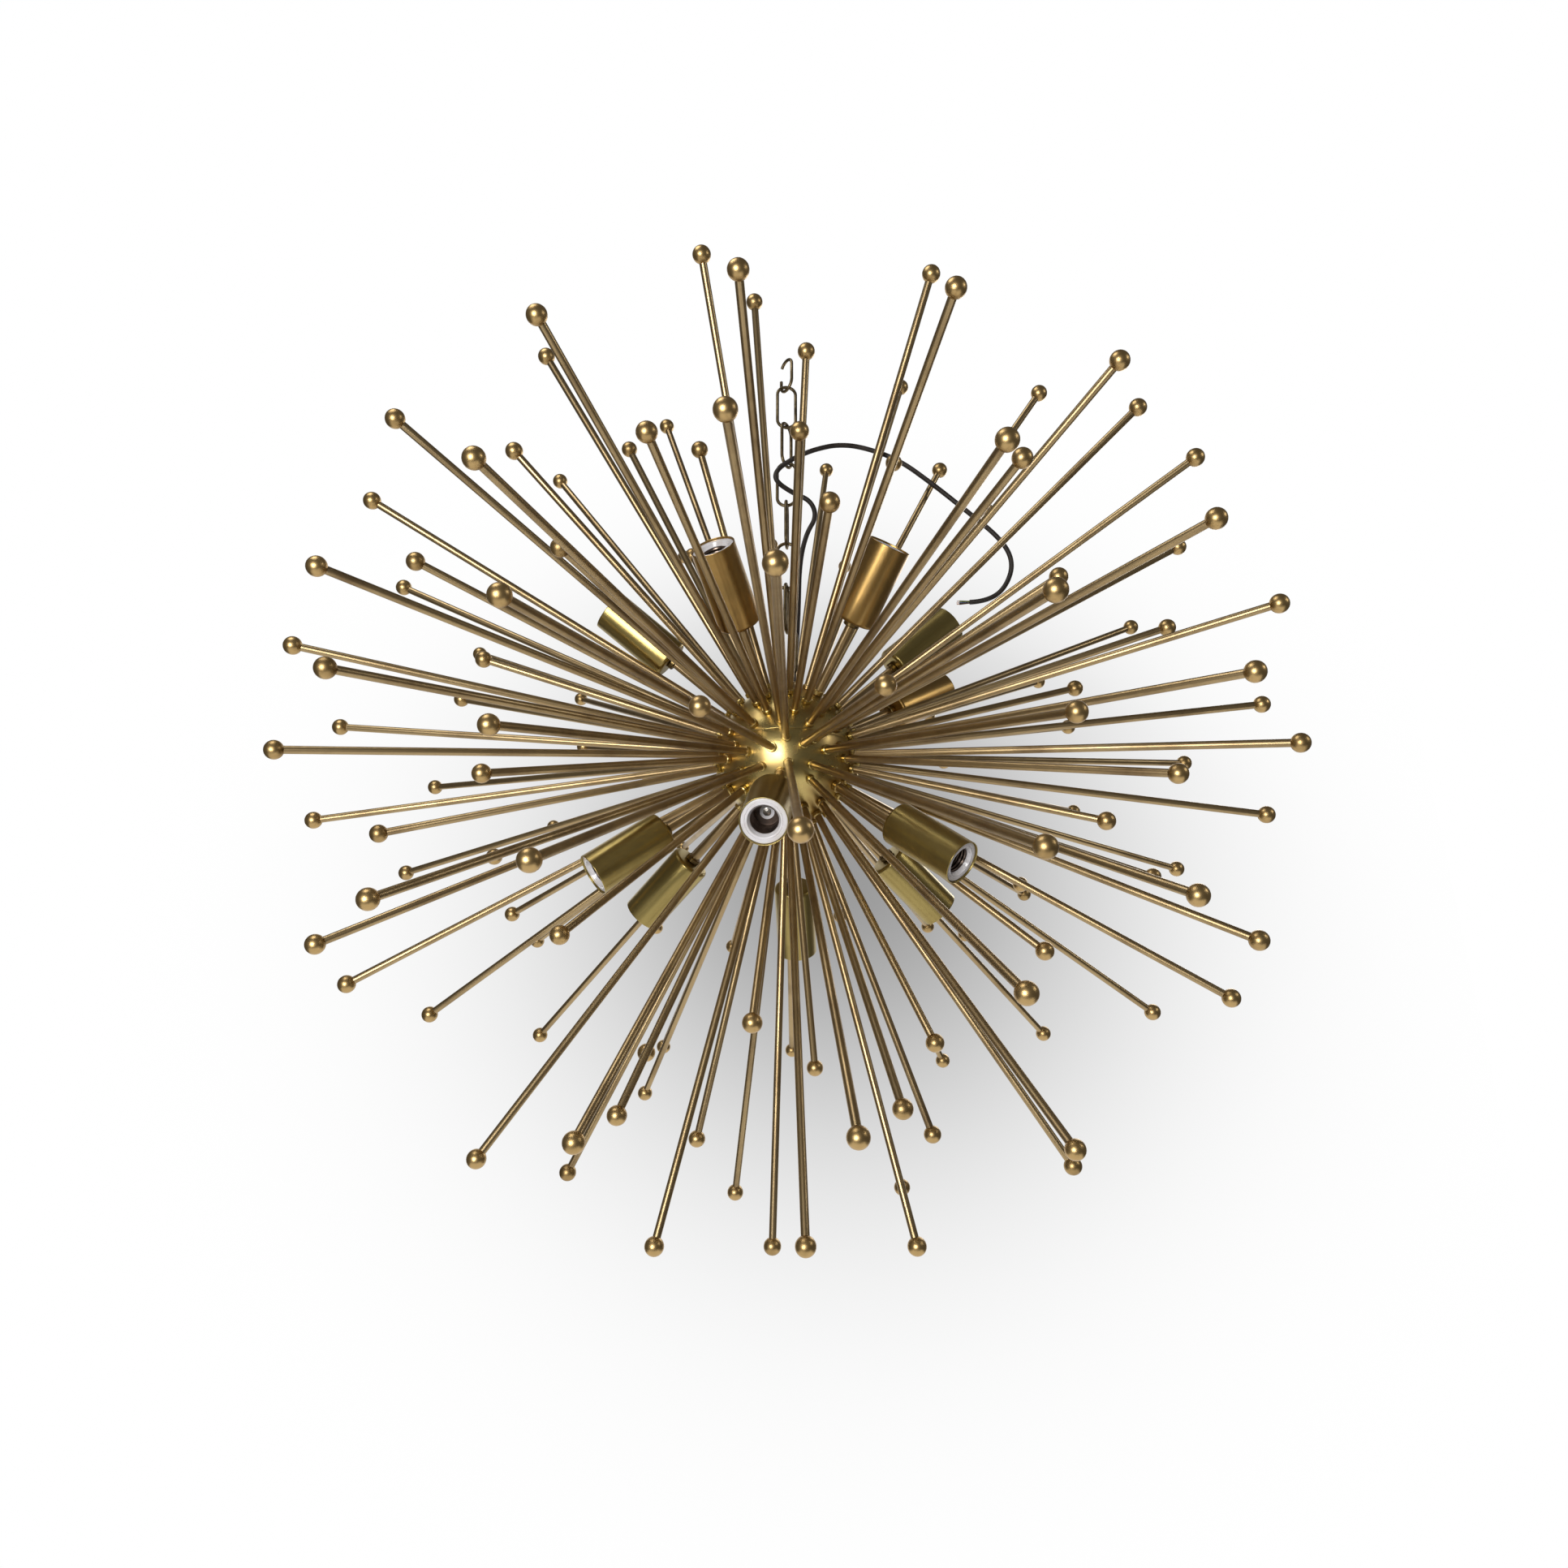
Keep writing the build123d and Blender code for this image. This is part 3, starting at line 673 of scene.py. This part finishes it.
def build_cup(bm, radius, length_mm, sides):
    base = CUP_BASE
    lip = base + length_mm
    wall = CUP_WALL
    outside = [(STEM_HOLE, base)] + arc(radius - 4, base + 4, 4, -90, 0, 6)
    outside += [(radius, base + 30), (radius, base + 60), (radius, lip - 1.2)]
    rim = arc(radius - wall / 2, lip - 0.5, wall / 2, 0, 180, 6)
    inside = [(radius - wall, base + 60), (radius - wall, base + 30)]
    inside += arc(radius - 4, base + 4.5, 3, 0, -90, 4)
    inside += [(STEM_HOLE, base + 1.5)]
    spin_profile(bm, outside + rim + inside, sides, closed=True)


def build_holder(bm, sides):
    """A stepped porcelain body with a groove in its face, and a bore for the screw shell."""
    face = HOLDER_FACE
    profile = [(3.5, 173.5), (18.0, 173.5), (18.0, 206.3), (HOLDER_RADIUS, 208.3)]
    profile += arc(HOLDER_RADIUS - 1.6, face - 1.6, 1.6, 0, 90, 5)
    profile += [(18.4, face), (17.9, face - 0.7), (17.4, face)]
    profile += arc(16.3, face - 0.8, 0.8, 90, 180, 3)
    profile += [(14.2, 252.9), (BORE_RADIUS, BORE_MOUTH), (BORE_RADIUS, BORE_FLOOR), (3.5, BORE_FLOOR)]
    spin_profile(bm, profile, sides, closed=True)


def build_screw_shell(bm, sides):
    """A rolled screw shell: the wall waves in and out once per thread turn."""
    low = BORE_FLOOR
    pitch = 3.63
    depth = 0.42
    crest = 13.25
    wall = 0.3
    steps = 56
    outer = []
    for step in range(steps + 1):
        height = low + 1.5 + (BORE_MOUTH - low - 2.0) * step / steps
        wave = depth * math.cos(FULL_TURN * (height - low) / pitch)
        outer.append((crest - depth + wave + wall, height))
    inner = [(r - wall, z) for r, z in reversed(outer)]
    profile = [(7.0, low + 0.1), (13.0, low + 0.1)] + outer + inner + [(12.4, low + 0.6), (7.0, low + 0.6)]
    spin_profile(bm, profile, sides, closed=True)


def build_contact(bm, sides):
    """A thin contact plate, raised a little in its middle."""
    low = BORE_FLOOR
    spin_profile(bm, (
        (0.0, low),
        (4.0, low),
        (4.0, low + 0.2),
        (3.7, low + 0.3),
        (2.4, low + 0.3),
        (1.9, low + 0.48),
        (0.0, low + 0.5),
    ), sides)


def build_shell_half(bm, side, radius, sides):
    """Half of the ball with a rolled edge at the seam, closed inside."""
    wall = 1.5
    roll = 0.35
    first = 0.4
    last = 86.3
    rows = 32
    points = [(radius - wall, 0.05), (radius - roll, 0.05)]
    points += arc(radius - roll, roll + 0.05, roll, -90, 0, 3)[1:]
    for step in range(1, rows + 1):
        angle = math.radians(first + (last - first) * step / rows)
        points.append((radius * math.cos(angle), radius * math.sin(angle)))
    inner = radius - wall
    for step in range(rows, 0, -2):
        angle = math.radians(last * step / rows)
        points.append((inner * math.cos(angle), inner * math.sin(angle)))
    spin_profile(bm, [(r, side * z) for r, z in points], sides, closed=True)


def build_wire(bm, steps, radius, start, closed):
    """Draws a wire from its section: steps are ("run", vector) and ("bend", centre, angle)."""
    bmesh.ops.create_circle(
        bm, cap_ends=False, radius=radius, segments=WIRE_SIDES, matrix=Matrix.Translation(start)
    )
    bm.edges.ensure_lookup_table()
    edges = list(bm.edges)
    first = list(edges)
    for step in steps:
        if step[0] == "run":
            made = bmesh.ops.extrude_edge_only(bm, edges=edges)["geom"]
            verts = [g for g in made if isinstance(g, bmesh.types.BMVert)]
            bmesh.ops.translate(bm, vec=step[1], verts=verts)
            made_edges = [g for g in made if isinstance(g, bmesh.types.BMEdge)]
            edges = [e for e in made_edges if all(v in verts for v in e.verts)]
        else:
            verts = list({v for e in edges for v in e.verts})
            made = bmesh.ops.spin(
                bm, geom=verts + edges, cent=step[1], axis=(0, 1, 0), angle=step[2],
                steps=WIRE_BEND_STEPS, use_merge=False, use_duplicate=False,
            )["geom_last"]
            edges = [g for g in made if isinstance(g, bmesh.types.BMEdge)]
    if not closed:
        for loop in (first, edges):
            bmesh.ops.holes_fill(bm, edges=loop, sides=0)


def build_link(bm, bottom, top, wire):
    half = LINK_HALF * MM
    low = bottom * MM + half
    high = top * MM - half
    leg = high - low
    build_wire(bm, (
        ("run", (0, 0, leg)),
        ("bend", (0, 0, high), -math.pi),
        ("run", (0, 0, -leg)),
        ("bend", (0, 0, low), -math.pi),
    ), wire * MM, (half, 0, low), True)


def build_hook(bm, bottom, top, wire):
    half = LINK_HALF * MM
    low = bottom * MM + half
    high = top * MM - half
    stub = HOOK_STUB * MM
    build_wire(bm, (
        ("run", (0, 0, -stub)),
        ("bend", (0, 0, low), -math.pi),
        ("run", (0, 0, high - low)),
        ("bend", (0, 0, high), -math.radians(HOOK_BEND)),
    ), wire * MM, (-half, 0, low + stub), False)


def build_loop_ring(bm):
    """The hang loop's ring, standing on edge in the XZ plane."""
    centre = Vector((0, 0, LOOP_HEIGHT * MM))
    bmesh.ops.create_circle(
        bm, cap_ends=False, radius=LOOP_WIRE * MM, segments=16,
        matrix=Matrix.Translation(centre + Vector((LOOP_RADIUS * MM, 0, 0))),
    )
    bmesh.ops.spin(
        bm, geom=list(bm.verts) + list(bm.edges), cent=centre, axis=(0, 1, 0), angle=FULL_TURN,
        steps=36, use_merge=True, use_duplicate=False,
    )


def build_loop_foot(bm, ball_radius, sides):
    """The foot saddled on the ball, rounded at its top edge."""
    seat = []
    for r in (14.0, 11.0, 8.0, 5.1):
        seat.append((r, math.sqrt(ball_radius ** 2 - r ** 2) + 0.02))
    profile = [(0.0, 88.0), (12.6, 88.0)] + arc(12.8, 86.8, 1.2, 80, 0, 4)
    profile += seat + [(5.1, 86.0), (0.0, 86.0)]
    spin_profile(bm, profile, sides)


def build_cap(bm, sides):
    """The domed nut on the ball's lower pole."""
    profile = [(5.1, 77.85), (10.4, 77.9), (11.0, 78.6), (11.0, 81.0), (10.2, 81.4), (10.2, 82.2)]
    profile += [(10.8, 82.7)] + arc(8.0, 86.0, 2.8, 0, 90, 5) + [(3.0, 88.98), (0.0, 89.0)]
    spin_profile(bm, profile, sides)


class ChandelierOperator(Operator):
    bl_options = {"REGISTER", "UNDO"}


class CHANDELIER_OT_stage(ChandelierOperator):
    """Make the pale floor and backdrop, the lights and the camera"""

    bl_idname = "chandelier.stage"
    bl_label = "Stage"

    def execute(self, context):
        scene = context.scene
        stage = scene.chandelier_stage
        scene.view_settings.view_transform = "Standard"

        camera_data = bpy.data.cameras.new("Camera")
        camera_data.lens = stage.focal_length
        camera_data.sensor_width = 36.0
        camera_data.clip_start = 0.01
        camera_data.clip_end = 50.0
        camera = bpy.data.objects.new("Camera", camera_data)
        camera.location = stage.camera_place
        camera.rotation_euler = Euler((math.pi / 2 + stage.camera_tilt, 0, 0))
        scene.collection.objects.link(camera)
        scene.camera = camera

        self.backdrop(scene, stage)
        self.room(scene, stage)
        for name, place, size, setting in LIGHTS:
            self.light(name, place, size, getattr(stage, setting))
        return {"FINISHED"}

    def light(self, name, place, size, power):
        data = bpy.data.lights.new(name, "AREA")
        data.size = size
        data.energy = power
        lamp = bpy.data.objects.new(name, data)
        lamp.location = place
        aim = CENTRE - Vector(place)
        lamp.rotation_euler = aim.to_track_quat("-Z", "Y").to_euler()
        bpy.context.scene.collection.objects.link(lamp)

    def backdrop(self, scene, stage):
        """A floor that bends up into a wall behind, white with the paper's painted shade, and seen from its
        front only.
        """
        bm = bmesh.new()
        floor = stage.floor_height
        half = stage.backdrop_width / 2
        bend = WALL_BEND
        foot = WALL_PLACE - bend
        verts = [bm.verts.new((-half, FLOOR_FRONT, floor)), bm.verts.new((-half, foot, floor))]
        for step in range(1, WALL_BEND_STEPS + 1):
            angle = math.pi / 2 * step / WALL_BEND_STEPS
            verts.append(bm.verts.new((
                -half, foot + bend * math.sin(angle), floor + bend - bend * math.cos(angle)
            )))
        verts.append(bm.verts.new((-half, WALL_PLACE, WALL_TOP)))
        edges = [bm.edges.new(pair) for pair in zip(verts, verts[1:])]
        made = bmesh.ops.extrude_edge_only(bm, edges=edges)["geom"]
        moved = [g for g in made if isinstance(g, bmesh.types.BMVert)]
        bmesh.ops.translate(bm, vec=(stage.backdrop_width, 0, 0), verts=moved)
        for face in bm.faces:
            face.normal_update()
            face.smooth = True
            if face.normal.z < 0 or face.normal.y > 0.5:
                face.normal_flip()
        mesh = bpy.data.meshes.new("Backdrop")
        bm.to_mesh(mesh)
        bm.free()
        sweep = bpy.data.objects.new("Backdrop", mesh)
        scene.collection.objects.link(sweep)
        mesh.materials.append(self.paper(stage))

    def paper(self, stage):
        """White paper with a painted soft grey shade standing in for the object's shadow, which fades where
        it is seen at a slant.
        """
        material = bpy.data.materials.new("White paper")
        material.use_nodes = True
        tree = material.node_tree
        nodes = tree.nodes
        nodes.clear()
        out = nodes.new("ShaderNodeOutputMaterial")
        place = nodes.new("ShaderNodeTexCoord")
        # Painted shadow: a soft grey patch round the shade's place darkens the paper's colour.
        away = add_node(tree, "ShaderNodeVectorMath", (
            (0, place.outputs["Object"]),
            (1, stage.painted_shade_place),
        ), operation="DISTANCE")
        spread = add_node(tree, "ShaderNodeMath", (
            (0, away.outputs["Value"]),
            (1, stage.painted_shade_size),
        ), operation="DIVIDE")
        square = add_node(tree, "ShaderNodeMath", ((0, spread.outputs[0]), (1, 2.0)), operation="POWER")
        half = add_node(tree, "ShaderNodeMath", ((0, square.outputs[0]), (1, -0.5)), operation="MULTIPLY")
        bell = add_node(tree, "ShaderNodeMath", ((0, half.outputs[0]),), operation="EXPONENT")
        depth = add_node(tree, "ShaderNodeMath", (
            (0, bell.outputs[0]),
            (1, stage.painted_shade_depth),
        ), operation="MULTIPLY", use_clamp=True)
        surface = nodes.new("ShaderNodeNewGeometry")
        facing = add_node(tree, "ShaderNodeVectorMath", (
            (0, surface.outputs["Incoming"]),
            (1, surface.outputs["Normal"]),
        ), operation="DOT_PRODUCT")
        front = add_node(tree, "ShaderNodeMapRange", (
            ("Value", facing.outputs["Value"]),
            ("From Min", 0.76),
            ("From Max", 0.87),
        ))
        grey = add_node(tree, "ShaderNodeMath", (
            (0, depth.outputs[0]),
            (1, front.outputs[0]),
        ), operation="MULTIPLY", use_clamp=True)
        tone = mix_colour(tree, grey.outputs[0], (1, 1, 1, 1), (0, 0, 0, 1))
        paper = add_node(tree, "ShaderNodeBsdfDiffuse", (("Color", (0.86, 0.86, 0.86, 1)),))
        glow = add_node(tree, "ShaderNodeEmission", (("Color", tone), ("Strength", 1.0)))
        path = nodes.new("ShaderNodeLightPath")
        direct = add_node(tree, "ShaderNodeMath", (
            (0, path.outputs["Is Camera Ray"]),
            (1, path.outputs["Is Glossy Ray"]),
        ), operation="ADD", use_clamp=True)
        every = add_node(tree, "ShaderNodeMath", (
            (0, direct.outputs[0]),
            (1, path.outputs["Is Transmission Ray"]),
        ), operation="ADD", use_clamp=True)
        clear = nodes.new("ShaderNodeBsdfTransparent")
        lit = nodes.new("ShaderNodeMixShader")
        whole = nodes.new("ShaderNodeMixShader")
        tree.links.new(every.outputs[0], lit.inputs[0])
        tree.links.new(paper.outputs[0], lit.inputs[1])
        tree.links.new(glow.outputs[0], lit.inputs[2])
        tree.links.new(surface.outputs["Backfacing"], whole.inputs[0])
        tree.links.new(lit.outputs[0], whole.inputs[1])
        tree.links.new(clear.outputs[0], whole.inputs[2])
        tree.links.new(whole.outputs[0], out.inputs["Surface"])
        return material

    def room(self, scene, stage):
        """A dim studio whose far side, behind the object, is as white as the backdrop."""
        world = bpy.data.worlds.new("Room")
        scene.world = world
        world.use_nodes = True
        tree = world.node_tree
        tree.nodes.clear()
        out = tree.nodes.new("ShaderNodeOutputWorld")
        room = tree.nodes.new("ShaderNodeBackground")
        room.inputs["Color"].default_value = (1.0, 0.97, 0.93, 1)
        room.inputs["Strength"].default_value = stage.room_light
        white = tree.nodes.new("ShaderNodeBackground")
        white.inputs["Color"].default_value = (1, 1, 1, 1)
        white.inputs["Strength"].default_value = 1.0
        path = tree.nodes.new("ShaderNodeLightPath")
        place = tree.nodes.new("ShaderNodeTexCoord")
        parts = add_node(tree, "ShaderNodeSeparateXYZ", ((0, place.outputs["Generated"]),))
        behind = add_node(tree, "ShaderNodeMapRange", (
            ("Value", parts.outputs["Y"]),
            ("From Min", 0.72),
            ("From Max", 0.95),
        ))
        shiny = add_node(tree, "ShaderNodeMath", (
            (0, path.outputs["Is Glossy Ray"]),
            (1, path.outputs["Is Transmission Ray"]),
        ), operation="ADD")
        seen = add_node(tree, "ShaderNodeMath", (
            (0, shiny.outputs[0]),
            (1, behind.outputs[0]),
        ), operation="MULTIPLY")
        share = add_node(tree, "ShaderNodeMath", (
            (0, path.outputs["Is Camera Ray"]),
            (1, seen.outputs[0]),
        ), operation="ADD", use_clamp=True)
        mix = tree.nodes.new("ShaderNodeMixShader")
        tree.links.new(share.outputs[0], mix.inputs[0])
        tree.links.new(room.outputs[0], mix.inputs[1])
        tree.links.new(white.outputs[0], mix.inputs[2])
        tree.links.new(mix.outputs[0], out.inputs["Surface"])


class CHANDELIER_OT_cord(ChandelierOperator):
    """Make the loose supply cord and the wires at its cut end"""

    bl_idname = "chandelier.cord"
    bl_label = "Supply cord"

    def execute(self, context):
        looks = finishes(context)
        cord = self.curve("supply_cord_line", CORD_ROUTE, CORD_DIAMETER / 2, looks["jacket"])
        end = Vector(CORD_ROUTE[-1])
        tail = (end - Vector(CORD_ROUTE[-2])).normalized()
        side = tail.cross(Vector((0, 1, 0))).normalized()
        ends = []
        for word, out, up in WIRE_LEANS:
            lean = side * out + Vector((0, 1, 0)) * up
            name = "cord_end_" + word
            route = [end + lean * beside + tail * past for beside, past in WIRE_POINTS]
            copper = [route[-1] + tail * past for past in COPPER_POINTS]
            ends.append(self.curve(name, route, WIRE_RADIUS, looks[word + " wire"]))
            ends.append(self.curve(name + "_bare", copper, COPPER_RADIUS, looks["copper"]))
        for piece in [cord] + ends:
            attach(piece, "fixture")
        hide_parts("supply_cord")
        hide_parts("cord_end_wires")
        return {"FINISHED"}

    def curve(self, name, route, radius, material):
        data = bpy.data.curves.new(name, "CURVE")
        data.dimensions = "3D"
        data.bevel_depth = radius
        data.bevel_resolution = 4
        data.use_fill_caps = True
        spline = data.splines.new("NURBS")
        spline.points.add(len(route) - 1)
        for point, place in zip(spline.points, route):
            point.co = (place[0], place[1], place[2], 1)
        spline.order_u = 3
        spline.use_endpoint_u = True
        spline.resolution_u = 10
        piece = bpy.data.objects.new(name, data)
        bpy.context.scene.collection.objects.link(piece)
        data.materials.append(material)
        return piece


class CHANDELIER_OT_ball(ChandelierOperator):
    """Make the two half shells of the ball and the cap nut below it"""

    bl_idname = "chandelier.ball"
    bl_label = "Ball"

    def execute(self, context):
        looks = finishes(context)
        radius = context.scene.chandelier_sizes.ball_radius / MM
        for side, word in ((1, "upper"), (-1, "lower")):
            bm = bmesh.new()
            build_shell_half(bm, side, radius, 96)
            tidy(bm)
            shade(bm)
            bmesh.ops.translate(bm, vec=CENTRE, verts=bm.verts)
            finish_piece(
                word + "_shell_dressed", bm, looks["ball"], "fixture", (word + "_half_shell",)
            )
        bm = bmesh.new()
        gather(bm, template(build_cap, 40), outward(-90, 0))
        finish_piece("bottom_cap_dressed", bm, looks["ball"], "fixture", ("bottom_cap",))
        return {"FINISHED"}


class CHANDELIER_OT_rods(ChandelierOperator):
    """Make the rods, their ball tips and the collars at their feet"""

    bl_idname = "chandelier.rods"
    bl_label = "Rods and tips"

    def execute(self, context):
        looks = finishes(context)
        sizes = context.scene.chandelier_sizes
        collar = template(build_ring, *ROD_COLLAR, 18)
        for side in ("upper", "lower"):
            rods = rods_of(side)
            for word, reach in (("long", LONG), ("medium", MEDIUM), ("short", SHORT)):
                places = [(lat, lon) for own, lat, lon in rods if own == reach]
                rod = template(build_rod, reach, sizes.rod_radius, sizes.rod_sides)
                tip = template(build_tip, reach, sizes.tip_radius)
                name = side + "_" + word
                repeated(name + "_rods_dressed", rod, places, looks["rod"], (name + "_rods",))
                repeated(name + "_tips_dressed", tip, places, looks["tip"], (name + "_tips",))
            feet = [(lat, lon) for own, lat, lon in rods]
            repeated(
                side + "_collars_dressed", collar, feet, looks["ball"],
                (side + "_rod_collars",),
            )
        return {"FINISHED"}


class CHANDELIER_OT_lamps(ChandelierOperator):
    """Make the lamp cups with their stems, lampholders and screw shells"""

    bl_idname = "chandelier.lamps"
    bl_label = "Lamp cups"

    def execute(self, context):
        looks = finishes(context)
        sizes = context.scene.chandelier_sizes
        cup = template(build_cup, sizes.cup_radius / MM, sizes.cup_length / MM, sizes.cup_sides)
        everywhere = LAMPS["upper"] + LAMPS["lower"]
        for number, place in enumerate(everywhere):
            node = "lamp_cup_" + str(number + 1)
            look = "warm cup" if number in WARM_CUPS else "cup"
            repeated(node + "_dressed", cup, [place], looks[look], (node,))
        holder = template(build_holder, 48)
        screw = template(build_screw_shell, 40)
        stem = template(build_ring, *LAMP_STEM, 24)
        for side in ("upper", "lower"):
            places = LAMPS[side]
            repeated(
                side + "_holders_dressed", holder, places, looks["porcelain"],
                (side + "_lampholders",),
            )
            repeated(
                side + "_screws_dressed", screw, places, looks["screw"],
                (side + "_screw_shells",),
            )
            repeated(
                side + "_stems_dressed", stem, places, looks["rod"],
                (side + "_lamp_stems",),
            )
        contact = template(build_contact, 20)
        repeated(
            "contacts_dressed", contact, everywhere, looks["nickel"], ("centre_contacts",)
        )
        foot = template(build_ring, *STEM_COLLAR, 24)
        repeated("stem_collars_dressed", foot, everywhere, looks["ball"], ("stem_collars",))
        neck = template(build_ring, *NECK_COLLAR, 28)
        repeated(
            "neck_collars_dressed", neck, everywhere, looks["neck"], ("cup_neck_collars",)
        )
        return {"FINISHED"}


class CHANDELIER_OT_chain(ChandelierOperator):
    """Make the hang loop, the chain links and the open hook at the top"""

    bl_idname = "chandelier.chain"
    bl_label = "Chain"

    def execute(self, context):
        looks = finishes(context)
        wire = context.scene.chandelier_sizes.wire_radius / MM
        for place, yaw in enumerate(LINK_YAWS):
            top_gap = LOOSE if place < 3 else 0.0
            bottom_gap = LOOSE if place < 2 else 0.0
            body = ("link_1", "link_2")[place] if place < 2 else "fixture"
            bm = bmesh.new()
            build_link(bm, CONTACTS[place + 1] - wire - bottom_gap, CONTACTS[place] + wire + top_gap, wire)
            node = "chain_link_" + str(place + 1)
            self.stand(bm, yaw, node + "_dressed", looks["chain"], body, node)
        bm = bmesh.new()
        build_hook(bm, CONTACTS[0] - wire - LOOSE, CONTACTS[0] + HOOK_HEIGHT + wire, wire)
        self.stand(bm, HOOK_YAW, "top_hook_dressed", looks["chain"], "hook", "top_hook")

        bm = bmesh.new()
        build_loop_ring(bm)
        tidy(bm)
        shade(bm, 60.0)
        bmesh.ops.rotate(bm, matrix=Matrix.Rotation(math.radians(LOOP_YAW), 3, "Z"), verts=bm.verts)
        foot = template(build_loop_foot, context.scene.chandelier_sizes.ball_radius / MM, 40)
        bm.from_mesh(foot)
        bmesh.ops.translate(bm, vec=CENTRE, verts=bm.verts)
        finish_piece("hang_loop_dressed", bm, looks["ball"], "fixture", ("hang_loop",))
        return {"FINISHED"}

    def stand(self, bm, yaw, name, material, body, node):
        tidy(bm)
        shade(bm, 60.0)
        turn = Matrix.Translation(CENTRE) @ Matrix.Rotation(math.radians(yaw), 4, "Z")
        bmesh.ops.transform(bm, matrix=turn, verts=bm.verts)
        finish_piece(name, bm, material, body, (node,))


class CHANDELIER_OT_fittings(ChandelierOperator):
    """Give the parts inside the ball and the cups their finishes"""

    bl_idname = "chandelier.fittings"
    bl_label = "Inner fittings"

    def execute(self, context):
        looks = finishes(context)
        chosen = {
            "centre_pipe": "zinc",
            "pipe_nuts": "zinc",
            "cup_lock_nuts": "zinc",
            "upper_rod_nuts": "zinc",
            "lower_rod_nuts": "zinc",
            "stem_nuts": "zinc",
            "lamp_leads": "sleeve",
            "supply_wires": "sleeve",
            "wire_connectors": "plastic",
            "supply_connector": "plastic",
        }
        for node, look in chosen.items():
            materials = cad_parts[node].data.materials
            materials.clear()
            materials.append(looks[look])
        return {"FINISHED"}


class CHANDELIER_PT_sidebar(Panel):
    bl_idname = "CHANDELIER_PT_sidebar"
    bl_label = "Sputnik Chandelier"
    bl_space_type = "VIEW_3D"
    bl_region_type = "UI"
    bl_category = "Chandelier"

    def draw(self, context):
        column = self.layout.column()
        for operator in OPERATORS:
            column.operator(operator.bl_idname)
        for group in ("chandelier_sizes", "chandelier_colours", "chandelier_stage"):
            settings = getattr(context.scene, group)
            for key in settings.bl_rna.properties.keys():
                if key not in ("rna_type", "name"):
                    column.prop(settings, key)


OPERATORS = (
    CHANDELIER_OT_stage,
    CHANDELIER_OT_cord,
    CHANDELIER_OT_ball,
    CHANDELIER_OT_rods,
    CHANDELIER_OT_lamps,
    CHANDELIER_OT_chain,
    CHANDELIER_OT_fittings,
)
CLASSES = (ChandelierSizes, ChandelierColours, ChandelierStage) + OPERATORS + (CHANDELIER_PT_sidebar,)


def register():
    for cls in CLASSES:
        bpy.utils.register_class(cls)
    bpy.types.Scene.chandelier_sizes = PointerProperty(type=ChandelierSizes)
    bpy.types.Scene.chandelier_colours = PointerProperty(type=ChandelierColours)
    bpy.types.Scene.chandelier_stage = PointerProperty(type=ChandelierStage)


def unregister():
    del bpy.types.Scene.chandelier_stage
    del bpy.types.Scene.chandelier_colours
    del bpy.types.Scene.chandelier_sizes
    for cls in reversed(CLASSES):
        bpy.utils.unregister_class(cls)


def main():
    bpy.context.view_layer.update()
    register()
    bpy.ops.chandelier.stage()
    bpy.ops.chandelier.cord()
    bpy.ops.chandelier.ball()
    bpy.ops.chandelier.rods()
    bpy.ops.chandelier.lamps()
    bpy.ops.chandelier.chain()
    bpy.ops.chandelier.fittings()


if __name__ == "__main__":
    main()
